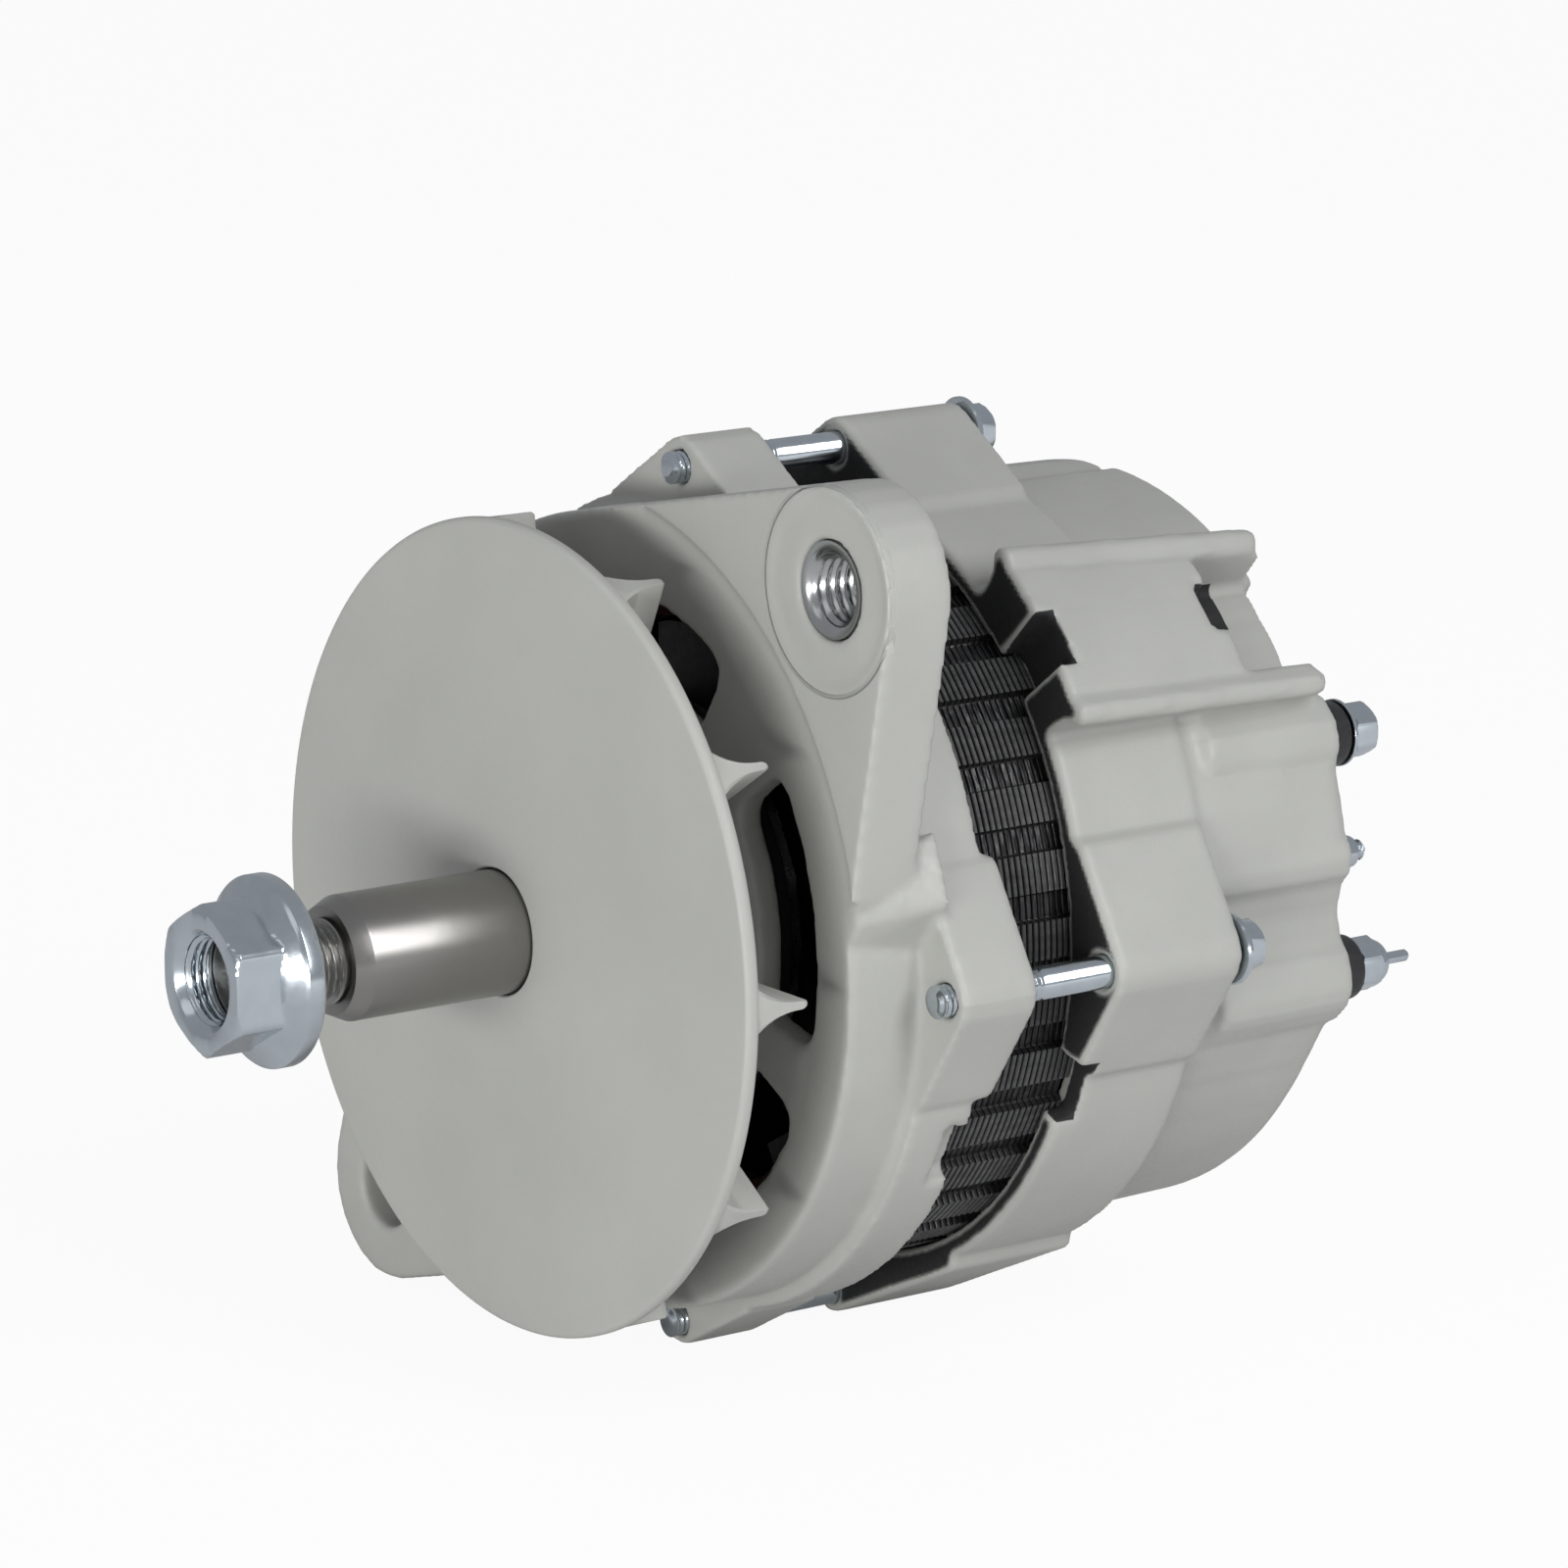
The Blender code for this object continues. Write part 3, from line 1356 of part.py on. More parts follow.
def make_rectifier():
    make_heat_sink("negative_heat_sink", y_negative_sink, ground_angle, output_angle, False)
    make_heat_sink("positive_heat_sink", y_positive_sink, output_angle, None, True)
    number = 0
    for y_plate in (y_negative_sink, y_positive_sink):
        for angle in diode_angles:
            number += 1
            name = f"diode_{number}"
            y_rear = y_plate + sink_plate
            part(
                rod(name, diode_radius, y_rear - diode_height, y_rear, polar(diode_circle, angle)), name,
                "zinc",
            )
    y_low = y_positive_sink + sink_plate + gap
    y_high = y_negative_sink - gap
    for number, angle in enumerate(spacer_angles, 1):
        name = f"heat_sink_spacer_{number}"
        part(
            rod(name, spacer_radius, y_low, y_high, polar(spacer_circle, angle), small_steps), name,
            "plastic",
        )


def stud_hole(name, place, y_front, y_rear):
    """The cutter for a hole that a terminal stud passes."""
    return rod(name, stud_radius + gap, y_front, y_rear, place, small_steps)


def make_insulator(name, place, y_seat, y_top):
    """A moulded collar on the frame's rear face, with a neck that lines the hole through the wall."""
    y_inner = y_rear_inner + gap
    insulator = rod(name, insulator_radius, y_seat, y_top, place, small_steps)
    join(insulator, rod(name + "_neck", insulator_neck_radius, y_inner, y_seat + gap, place, small_steps))
    cut(insulator, stud_hole(name + "_hole", place, y_inner - overrun, y_top + overrun))
    part(insulator, name, "plastic")


def make_stud(name, place, y_seat, y_end):
    """A stud whose head lies under its heat sink."""
    y_head = y_seat - stud_head_height
    stud = rod(name, stud_head_radius, y_head, y_seat, place, hexagon_steps)
    join(stud, rod(name + "_shank", stud_radius, y_head + stud_head_height / 2, y_end, place, small_steps))
    part(stud, name, "zinc")


def make_ground_washer(place, y_front):
    """A washer with a raised centre under the nut, so that its rim stays free as a seat."""
    y_rear = y_front + washer_thickness
    y_step = y_rear - washer_step
    y_inside = y_front + washer_step / 2
    washer = rod("ground_washer", washer_radius, y_front, y_step, place, small_steps)
    join(washer, rod("washer_centre", washer_step_radius, y_inside, y_rear, place, small_steps))
    cut(washer, stud_hole("washer_hole", place, y_front - overrun, y_rear + overrun))
    part(washer, "ground_washer", "zinc")


def make_output_nut(place, y_front, y_stud):
    """A cap nut: a hexagon with a dome that ends in a thin tip."""
    y_hexagon = y_front + terminal_nut_height
    y_inside = y_front + terminal_nut_height / 2
    y_dome = y_front + output_dome_height
    shoulder = terminal_nut_flats / 2 - gap
    nut = hexagon("output_nut", terminal_nut_flats, y_front, y_hexagon, place)
    cap = turned(
        "output_cap",
        [
            (0, y_inside),
            (shoulder, y_inside),
            (shoulder, y_hexagon),
            (output_tip_radius * 2, y_dome),
            (output_tip_radius, y_dome),
            (output_tip_radius, y_dome + output_tip_length),
            (0, y_dome + output_tip_length),
        ],
        small_steps,
    )
    cap.location = (place[0], 0, place[1])
    join(nut, cap)
    cut(nut, stud_hole("output_nut_hole", place, y_front - overrun, y_stud + gap))
    part(nut, "output_nut", "zinc")


def make_relay_screw():
    """The small terminal screw between the studs, tapped into the frame, with a pointed end."""
    place = polar(relay_circle, relay_angle)
    y_seat = y_rear_face + gap
    y_top = y_seat + relay_head_height
    y_tip = y_rear_face - relay_depth
    screw = rod("relay_terminal_screw", relay_radius, y_tip, y_seat + gap, place, tiny_steps)
    join(screw, rod("relay_head", relay_head_radius, y_seat, y_top, place, tiny_steps))
    y_end = y_top + relay_rise
    join(screw, rod("relay_tip", relay_radius, y_top - gap, y_end, place, tiny_steps, relay_radius / 2))
    part(screw, "relay_terminal_screw", "zinc")


def make_terminals():
    """Two insulated studs with their nuts, and the small screw between them."""
    y_seat = y_rear_face + gap
    y_insulator = y_seat + insulator_height
    y_first = y_insulator + gap
    place = terminal_place(output_angle)
    y_stud = y_first + terminal_nut_height
    make_insulator("output_insulator", place, y_seat, y_insulator)
    make_stud("output_stud", place, y_positive_sink - gap, y_stud)
    make_output_nut(place, y_first, y_stud)
    place = terminal_place(ground_angle)
    y_nut = y_first + washer_thickness + gap
    y_nut_end = y_nut + terminal_nut_height
    make_insulator("ground_insulator", place, y_seat, y_insulator)
    make_ground_washer(place, y_first)
    make_stud("ground_stud", place, y_negative_sink - gap, y_nut_end + ground_stud_rise)
    nut = hexagon("ground_nut", terminal_nut_flats, y_nut, y_nut_end, place)
    cut(nut, stud_hole("ground_nut_hole", place, y_nut - overrun, y_nut_end + overrun))
    part(nut, "ground_nut", "zinc")
    make_relay_screw()


def make_spring(name, x, y, z_low, z_high):
    """A coil of round wire from the brush up to the holder's top."""
    count = spring_turns * spring_points_per_turn
    curve = bpy.data.curves.new(name, "CURVE")
    curve.dimensions = "3D"
    curve.bevel_depth = spring_wire
    curve.bevel_resolution = 0
    curve.use_fill_caps = True
    spline = curve.splines.new("POLY")
    spline.points.add(count)
    low, high = z_low + spring_wire, z_high - spring_wire
    for i, point in enumerate(spline.points):
        turn = 2 * math.pi * i / spring_points_per_turn
        height = low + (high - low) * i / count
        point.co = (x + spring_radius * math.cos(turn), y + spring_radius * math.sin(turn), height, 1)
    part(meshed(name, bpy.data.objects.new(name + "_path", curve)), name, "steel")


def make_brush_gear():
    """A moulded holder with two square wells; each brush is pushed down onto its slip ring by a spring."""
    z_ring = ring_radius + gap
    z_brush_top = z_ring + brush_length
    z_spring_top = z_brush_top + gap + spring_length
    z_holder = z_ring + holder_mouth
    z_top = z_spring_top + gap + holder_top
    half_width = brush_width / 2
    half_thickness = brush_thickness / 2
    y_low = y_front_ring + ring_width / 2 - half_thickness - gap - holder_wall
    y_high = y_rear_ring + ring_width / 2 + half_thickness + gap + holder_wall
    wall = half_width + gap + holder_wall
    holder = block("brush_holder", (-wall, y_low, z_holder), (wall, y_high, z_top))
    for side, y_ring in (("front", y_front_ring), ("rear", y_rear_ring)):
        y = y_ring + ring_width / 2
        well = block(
            side + "_well",
            (-half_width - gap, y - half_thickness - gap, z_holder - overrun),
            (half_width + gap, y + half_thickness + gap, z_spring_top + gap),
        )
        cut(holder, well)
        brush = block(
            side + "_brush", (-half_width, y - half_thickness, z_ring), (
                half_width, y + half_thickness, z_brush_top,
            )
        )
        part(brush, side + "_brush", "carbon")
        make_spring(side + "_brush_spring", 0, y, z_brush_top + gap, z_spring_top)
    leg = block(
        "holder_leg", (-wall, y_high - holder_wall, z_top - holder_leg_height),
        (wall, y_rear_inner - gap, z_top),
    )
    join(holder, leg)
    part(holder, "brush_holder", "plastic")


def make_electrics():
    y_seat = y_rear_inner - gap
    for name, width, height, depth, angle, circle in (
        (
            "voltage_regulator", regulator_width, regulator_height, regulator_depth, regulator_angle,
            regulator_circle,
        ),
        ("diode_trio", trio_width, trio_height, trio_depth, trio_angle, trio_circle),
    ):
        made = block(
            name, (-width / 2, y_seat - depth, circle - height / 2), (width / 2, y_seat, circle + height / 2),
        )
        made.data.transform(Matrix.Rotation(math.radians(angle), 4, "Y"))
        part(made, name, "plastic")
    place = polar(capacitor_circle, capacitor_angle)
    part(
        rod("capacitor", capacitor_radius, y_seat - capacitor_length, y_seat, place, small_steps),
        "capacitor", "aluminium",
    )


clear_scene()
parts = new_collection("generator_alternator_head")
tools = new_collection("tools")
make_shaft()
make_nut()
make_fan()
make_spacer()
make_bearing(
    "front_bearing", front_bearing_bore_radius, front_bearing_radius, y_front_bearing, front_bearing_width,
    front_ball_radius, front_ball_count,
)
make_bearing(
    "rear_bearing", rear_bearing_bore_radius, rear_bearing_radius, y_rear_bearing, rear_bearing_width,
    rear_ball_radius, rear_ball_count,
)
make_drive_end_frame()
make_insert()
make_retainer()
make_stator()
make_winding()
make_rotor_inside()
make_rear_frame()
make_bushing()
make_through_bolts()
make_rectifier()
make_terminals()
make_brush_gear()
make_electrics()
switch_on_booleans()
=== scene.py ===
import math

import bmesh
import bpy
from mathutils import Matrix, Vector


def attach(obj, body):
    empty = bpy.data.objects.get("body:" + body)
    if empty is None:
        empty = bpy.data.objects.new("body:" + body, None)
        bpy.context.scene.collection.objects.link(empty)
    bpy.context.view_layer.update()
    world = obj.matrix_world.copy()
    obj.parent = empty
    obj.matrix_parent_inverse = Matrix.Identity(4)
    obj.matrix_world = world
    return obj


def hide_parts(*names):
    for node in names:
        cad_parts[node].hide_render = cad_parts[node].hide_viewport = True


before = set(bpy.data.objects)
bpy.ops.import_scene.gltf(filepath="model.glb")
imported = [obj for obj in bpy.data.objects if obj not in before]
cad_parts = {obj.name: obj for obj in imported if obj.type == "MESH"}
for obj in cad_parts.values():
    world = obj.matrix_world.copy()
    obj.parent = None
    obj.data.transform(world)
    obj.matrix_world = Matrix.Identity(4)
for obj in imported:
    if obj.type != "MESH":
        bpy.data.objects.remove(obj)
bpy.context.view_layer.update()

# The studio: a pale floor that fades into a white background, three soft boxes and a dim room, and the camera at the
# photograph's angle. The floor lies just under the lowest lobe and keeps the machine's shadow.
MM = 0.001
azimuth, elevation = math.radians(54.4), math.radians(12.9)
camera_distance = 1200 * MM
camera_right, camera_up = 48.5 * MM, 25.6 * MM
aim = Vector((0, 55.6 * MM, 0))
sensor_width = 36
photo_half_width, focal_pixels = 800, 6974
near_limit, far_limit = 0.05, 50
room_colour, room_strength = (0.93, 0.95, 1.0, 1), 0.39
white_colour = (1, 1, 1, 1)
floor_colour, floor_roughness, floor_glow = (0.80, 0.80, 0.80, 1), 0.9, 0.94
floor_reach, floor_level = 6.0, -84.6 * MM
lamp_aim = Vector((0, 90 * MM, 0))

level = math.cos(elevation)
back = Vector((math.sin(azimuth) * level, -math.cos(azimuth) * level, math.sin(elevation)))
right = Vector((math.cos(azimuth), math.sin(azimuth), 0))
up = back.cross(right)
lens = bpy.data.cameras.new("camera")
lens.sensor_width = sensor_width
lens.lens = sensor_width / 2 / (photo_half_width / focal_pixels)
lens.clip_start, lens.clip_end = near_limit, far_limit
camera = bpy.data.objects.new("camera", lens)
bpy.context.scene.collection.objects.link(camera)
camera.rotation_mode = "QUATERNION"
camera.rotation_quaternion = back.to_track_quat("Z", "Y")
camera.location = aim + back * camera_distance + right * camera_right + up * camera_up
bpy.context.scene.camera = camera
bpy.context.scene.view_settings.view_transform = "Standard"


def studio_rays(tree):
    """One where the floor or the room is seen straight or through something clear, and nought for its light."""
    path = tree.nodes.new("ShaderNodeLightPath")
    total = tree.nodes.new("ShaderNodeMath")
    total.operation = "MAXIMUM"
    tree.links.new(path.outputs["Is Camera Ray"], total.inputs[0])
    tree.links.new(path.outputs["Is Transmission Ray"], total.inputs[1])
    return total.outputs[0]


world = bpy.data.worlds.new("room")
bpy.context.scene.world = world
world.use_nodes = True
sky = world.node_tree
room = sky.nodes["Background"]
room.inputs["Color"].default_value = room_colour
room.inputs["Strength"].default_value = room_strength
white = sky.nodes.new("ShaderNodeBackground")
white.inputs["Color"].default_value = white_colour
choose = sky.nodes.new("ShaderNodeMixShader")
sky.links.new(studio_rays(sky), choose.inputs[0])
sky.links.new(room.outputs[0], choose.inputs[1])
sky.links.new(white.outputs[0], choose.inputs[2])
sky.links.new(choose.outputs[0], sky.nodes["World Output"].inputs["Surface"])

floor_mesh = bpy.data.meshes.new("floor")
corners = [(x * floor_reach, y * floor_reach, floor_level) for x, y in ((-1, -1), (1, -1), (1, 1), (-1, 1))]
floor_mesh.from_pydata(corners, [], [(0, 1, 2, 3)])
floor = bpy.data.objects.new("floor", floor_mesh)
bpy.context.scene.collection.objects.link(floor)
pale = bpy.data.materials.new("pale floor")
pale.use_nodes = True
tree = pale.node_tree
matt = tree.nodes["Principled BSDF"]
matt.inputs["Base Color"].default_value = floor_colour
matt.inputs["Roughness"].default_value = floor_roughness
glow = tree.nodes.new("ShaderNodeEmission")
glow.inputs["Color"].default_value = white_colour
glow.inputs["Strength"].default_value = 1.0
blend = tree.nodes.new("ShaderNodeMixShader")
share = tree.nodes.new("ShaderNodeMath")
share.operation = "MULTIPLY"
share.inputs[1].default_value = floor_glow
tree.links.new(studio_rays(tree), share.inputs[0])
tree.links.new(share.outputs[0], blend.inputs[0])
tree.links.new(matt.outputs[0], blend.inputs[1])
tree.links.new(glow.outputs[0], blend.inputs[2])
tree.links.new(blend.outputs[0], tree.nodes["Material Output"].inputs["Surface"])
floor_mesh.materials.append(pale)

for name, place, size, power, tint in (
    ("top box", (0.10, -1.45, 1.15), (0.8, 0.8), 1.0, (1.0, 0.99, 0.97)),
    ("side box", (1.35, 0.35, 0.85), (0.5, 1.1), 16.0, (0.99, 0.99, 1.0)),
    ("front box", (0.60, -1.42, -0.02), (1.2, 0.25), 21.5, (1.0, 1.0, 0.99)),
):
    lamp = bpy.data.lights.new(name, "AREA")
    lamp.shape = "RECTANGLE"
    lamp.size, lamp.size_y = size
    lamp.energy = power
    lamp.color = tint
    box = bpy.data.objects.new(name, lamp)
    bpy.context.scene.collection.objects.link(box)
    box.location = place
    box.rotation_mode = "QUATERNION"
    box.rotation_quaternion = (Vector(place) - lamp_aim).to_track_quat("Z", "Y")

# The two end frames are sand castings in aluminium, sprayed light warm grey after machining. Their edges and inner
# corners are softly rounded, and the skin has a fine pebble. Their insides, the rear notches and the vent are painted
# black as painted shade, and the rear joint face is painted black too.
paint_colour = (0.385, 0.388, 0.362, 1)
# The black of the painted shade on the castings' insides, notches and vent, also used on the rear joint face.
painted_shade_black = (0.010, 0.010, 0.011, 1)
pebble_depth, skin_depth = 0.10 * MM, 0.16 * MM
front_grain, rear_grain, weld_distance = 0.85 * MM, 0.90 * MM, 0.001 * MM
rounding_share, rounding_passes = 0.5, 4
facet_turn, level_tilt, facing_start, facing_range = math.radians(9), 0.08, 0.990, 0.006
front_turned_reach, rear_turned_reach, panel_turns = 77.5 * MM, 75.0 * MM, (34, 61)
front_inside_y, front_inside_radius = 86.0 * MM, 65.8 * MM
front_soft_y, front_soft_radius = 0.4 * MM, 0.2 * MM
rear_face_y, rear_inside_y, rear_inside_radius = 126.32 * MM, 183.9 * MM, 66.3 * MM
# The notches, the vent's walls and a patch on the recess floor for the vent's mouth get black painted shade; the
# mouth is not cut through.
notch_depth_y, notch_spans = 130.55 * MM, ((45.2, 52.8), (105.2, 115.8))
vent_y, vent_span, vent_radius = (164.4 * MM, 168.0 * MM), (43.2, 50.3), 79.6 * MM
mouth_y, mouth_span, mouth_radius = (172.6 * MM, 177.4 * MM), (38.7, 46.2), 70.6 * MM
mask_soft, mask_turn_soft = 0.08 * MM, 0.06
ear_place, ear_face_y = (67.6 * MM, 69.28 * MM), (77.0 * MM, 77.4 * MM)
ear_groove_radius, groove_half, groove_soft, groove_depth = 17.9 * MM, 0.25 * MM, 0.2 * MM, 0.5 * MM


def shader_tree(name, colour, roughness, metallic):
    """A new material, with its tree and its main shader."""
    made = bpy.data.materials.new(name)
    made.use_nodes = True
    main = made.node_tree.nodes["Principled BSDF"]
    main.inputs["Base Color"].default_value = colour
    main.inputs["Roughness"].default_value = roughness
    main.inputs["Metallic"].default_value = metallic
    return made, made.node_tree, main


def noise(tree, scale, detail=3.0, stretch=(1, 1, 1)):
    """Noise in the piece's own space, in grains per metre, drawn out along an axis by a small stretch value."""
    place = tree.nodes.new("ShaderNodeTexCoord")
    turn = tree.nodes.new("ShaderNodeMapping")
    turn.inputs["Scale"].default_value = stretch
    grain = tree.nodes.new("ShaderNodeTexNoise")
    grain.inputs["Scale"].default_value = scale
    grain.inputs["Detail"].default_value = detail
    tree.links.new(place.outputs["Object"], turn.inputs["Vector"])
    tree.links.new(turn.outputs[0], grain.inputs["Vector"])
    return grain.outputs["Fac"]


def remap(tree, source, low, high, start=0.3, end=0.7):
    """A grain's middle values spread over a range."""
    spread = tree.nodes.new("ShaderNodeMapRange")
    spread.inputs["From Min"].default_value = start
    spread.inputs["From Max"].default_value = end
    spread.inputs["To Min"].default_value = low
    spread.inputs["To Max"].default_value = high
    tree.links.new(source, spread.inputs["Value"])
    return spread.outputs[0]


def maths(tree, operation, *values):
    """A sum on sockets and plain numbers."""
    step = tree.nodes.new("ShaderNodeMath")
    step.operation = operation
    for socket, value in zip(step.inputs, values):
        if isinstance(value, (int, float)):
            socket.default_value = value
        else:
            tree.links.new(value, socket)
    return step.outputs[0]


def within(tree, source, low, high, soft):
    """One between two values and nought outside them, with a soft change at both."""
    rise = remap(tree, source, 0, 1, low - soft, low + soft)
    fall = remap(tree, source, 1, 0, high - soft, high + soft)
    return maths(tree, "MULTIPLY", rise, fall)


def tinted(tree, main, colour, share):
    """The shader's colour, made darker or lighter by a value near one."""
    mix = tree.nodes.new("ShaderNodeVectorMath")
    mix.operation = "SCALE"
    mix.inputs[0].default_value = colour[:3]
    tree.links.new(share, mix.inputs["Scale"])
    tree.links.new(mix.outputs[0], main.inputs["Base Color"])
    return mix.outputs[0]


def bumped(tree, main, height, depth, strength=1.0, after=None):
    """Relief of a depth in metres on the shader, on top of an earlier one if there is one."""
    relief = tree.nodes.new("ShaderNodeBump")
    relief.inputs["Strength"].default_value = strength
    relief.inputs["Distance"].default_value = depth
    tree.links.new(height, relief.inputs["Height"])
    if after is not None:
        tree.links.new(after, relief.inputs["Normal"])
    tree.links.new(relief.outputs[0], main.inputs["Normal"])
    return relief.outputs[0]


def shaft_place(tree):
    """The shaded point's distance from the shaft's axis, its angle from +Z towards +X in degrees, and its station."""
    place = tree.nodes.new("ShaderNodeTexCoord")
    parts = tree.nodes.new("ShaderNodeSeparateXYZ")
    tree.links.new(place.outputs["Object"], parts.inputs[0])
    x, y, z = parts.outputs["X"], parts.outputs["Y"], parts.outputs["Z"]
    square = maths(tree, "ADD", maths(tree, "MULTIPLY", x, x), maths(tree, "MULTIPLY", z, z))
    turn = maths(tree, "MULTIPLY", maths(tree, "ARCTAN2", x, z), math.degrees(1))
    return maths(tree, "SQRT", square), turn, y


def cast_paint(name, shade_rule):
    """Satin paint on a casting, with black painted shade where the shade rule says so."""
    made, tree, main = shader_tree(name, paint_colour, 0.5, 0.0)
    colour = tinted(tree, main, paint_colour, remap(tree, noise(tree, 60, 4), 0.965, 1.035))
    pebble = bumped(tree, main, noise(tree, 1500, 3), pebble_depth, 0.30)
    skin = bumped(tree, main, noise(tree, 420, 2), skin_depth, 0.20, pebble)
    # Where the black painted shade goes.
    shade_mask = shade_rule(tree, main, skin)
    satin = remap(tree, noise(tree, 900, 2), 0.42, 0.56)
    tree.links.new(maths(tree, "ADD", satin, maths(tree, "MULTIPLY", shade_mask, 0.25)), main.inputs["Roughness"])
    mix = tree.nodes.new("ShaderNodeMix")
    mix.data_type = "RGBA"
    mix.inputs["B"].default_value = painted_shade_black
    tree.links.new(shade_mask, mix.inputs["Factor"])
    tree.links.new(colour, mix.inputs["A"])
    tree.links.new(mix.outputs["Result"], main.inputs["Base Color"])
    return made


def front_painted_shade(tree, main, skin):
    """Black painted shade over the inside of the front casting. The ear's spot face is marked off by a fine groove.
    """
    radius, _, y = shaft_place(tree)
    place = tree.nodes.new("ShaderNodeTexCoord")
    parts = tree.nodes.new("ShaderNodeSeparateXYZ")
    tree.links.new(place.outputs["Object"], parts.inputs[0])
    x = maths(tree, "SUBTRACT", parts.outputs["X"], ear_place[0])
    z = maths(tree, "SUBTRACT", parts.outputs["Z"], ear_place[1])
    square = maths(tree, "ADD", maths(tree, "MULTIPLY", x, x), maths(tree, "MULTIPLY", z, z))
    inner, outer = ear_groove_radius - groove_half, ear_groove_radius + groove_half
    groove = within(tree, maths(tree, "SQRT", square), inner, outer, groove_soft)
    on_face = remap(tree, y, 1, 0, *ear_face_y)
    bumped(tree, main, maths(tree, "MULTIPLY", groove, on_face), -groove_depth, 1.0, skin)
    behind = remap(tree, y, 0, 1, front_inside_y - front_soft_y, front_inside_y)
    inside = remap(tree, radius, 1, 0, front_inside_radius, front_inside_radius + front_soft_radius)
    return maths(tree, "MULTIPLY", behind, inside)


def rear_painted_shade(tree, main, skin):
    """Black painted shade on the rear casting's notches, vent walls, vent mouth and inside, and black on its joint
    face.
    """
    radius, turn, y = shaft_place(tree)

    def below(source, limit, soft=mask_soft):
        return remap(tree, source, 1, 0, limit - soft, limit + soft)

    def patch(span_y, span_turn, limit):
        along, around = within(tree, y, *span_y, mask_soft), within(tree, turn, *span_turn, mask_turn_soft)
        return maths(tree, "MULTIPLY", maths(tree, "MULTIPLY", along, around), below(radius, limit))

    shade_mask = below(y, rear_face_y)
    ahead = remap(tree, y, 1, 0, rear_inside_y, rear_inside_y + 2 * mask_soft)
    shade_mask = maths(tree, "MAXIMUM", shade_mask, maths(tree, "MULTIPLY", ahead, below(radius, rear_inside_radius)))
    shallow = below(y, notch_depth_y)
    for span in notch_spans:
        notch = maths(tree, "MULTIPLY", shallow, within(tree, turn, *span, mask_turn_soft))
        shade_mask = maths(tree, "MAXIMUM", shade_mask, notch)
    vent_shade = maths(tree, "MAXIMUM", patch(vent_y, vent_span, vent_radius), patch(mouth_y, mouth_span, mouth_radius))
    return maths(tree, "MAXIMUM", shade_mask, vent_shade)


def trued(mesh, reach, spans):
    """The turned surfaces were drawn with flat facets. Each of their points goes out to the true circle, and faces
    that point another way, such as the lobes' flats, are left as they are. So are points beyond the reach, apart
    from those in the spans of angle."""
    points = [vertex.co.copy() for vertex in mesh.vertices]
    normals = [vertex.normal.copy() for vertex in mesh.vertices]
    for point, normal in zip(points, normals):
        radius = math.hypot(point.x, point.z)
        turn = math.atan2(point.x, point.z)
        tilt = math.hypot(normal.x, normal.z)
        allowed = radius < reach or any(start < math.degrees(turn) < end for start, end in spans)
        if radius == 0 or tilt < level_tilt or not allowed:
            continue
        facing = abs(normal.x * point.x + normal.z * point.z) / (radius * tilt)
        share = min(max((facing - facing_start) / facing_range, 0), 1)
        off = turn % facet_turn - facet_turn / 2
        scale = 1 + share * (math.cos(off) / math.cos(facet_turn / 2) - 1)
        point.x *= scale
        point.z *= scale
    mesh.vertices.foreach_set("co", [value for point in points for value in point])
    mesh.update()


def soft_casting(name, node, grain, reach, spans, paint):
    """The CAD casting with its edges and inner corners rounded, as a pattern-maker would leave them, and painted."""
    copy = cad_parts[node].data.copy()
    work = bmesh.new()
    work.from_mesh(copy)
    bmesh.ops.remove_doubles(work, verts=work.verts, dist=weld_distance)
    work.to_mesh(copy)
    work.free()
    rough = bpy.data.objects.new(name + "_rough", copy)
    bpy.context.scene.collection.objects.link(rough)
    grid = rough.modifiers.new("skin", "REMESH")
    grid.mode = "VOXEL"
    grid.voxel_size = grain
    grid.use_smooth_shade = True
    rounding = rough.modifiers.new("rounding", "SMOOTH")
    rounding.factor = rounding_share
    rounding.iterations = rounding_passes
    bpy.context.view_layer.update()
    mesh = bpy.data.meshes.new_from_object(rough.evaluated_get(bpy.context.evaluated_depsgraph_get()))
    bpy.data.objects.remove(rough)
    mesh.name = name
    mesh.materials.clear()
    mesh.materials.append(paint)
    trued(mesh, reach, spans)
    piece = bpy.data.objects.new(name, mesh)
    bpy.context.scene.collection.objects.link(piece)
    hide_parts(node)
    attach(piece, "housing")


front_paint = cast_paint("front casting paint", front_painted_shade)
rear_paint = cast_paint("rear casting paint", rear_painted_shade)
soft_casting("front_casting", "drive_end_frame", front_grain, front_turned_reach, (), front_paint)
soft_casting("rear_casting", "rear_frame", rear_grain, rear_turned_reach, (panel_turns,), rear_paint)

# The fan is a pressed steel plate, turned at the hub, with eleven cast-on blades behind it, all under the same grey
# paint. Each blade is a wedge with hollow flanks, thick at the plate and thin at its free edge.
fan_bore, fan_hub, fan_edge = 11.41 * MM, 19.0 * MM, 72.85 * MM
fan_hub_y, fan_rim_y, fan_back_y, fan_hub_rear_y = 53.1 * MM, 55.6 * MM, 58.4 * MM, 63.6 * MM
fan_round, bore_break, hub_slope = 1.1 * MM, 0.3 * MM, 2 * MM
dish_rows, dish_fall = 30, 0.15
blade_count, blade_first = 11, 24.5
blade_reach, blade_end_break = (34.0 * MM, 72.4 * MM), (0.6 * MM, 0.5 * MM)
blade_edge_y, blade_half_root, blade_half_edge = 68.6 * MM, 3.9 * MM, 0.9 * MM
blade_sink, flank_steps, flank_power, edge_rounds = 1.2 * MM, 8, 2.4, ((0.72, 0.3 * MM), (0.3, 0))


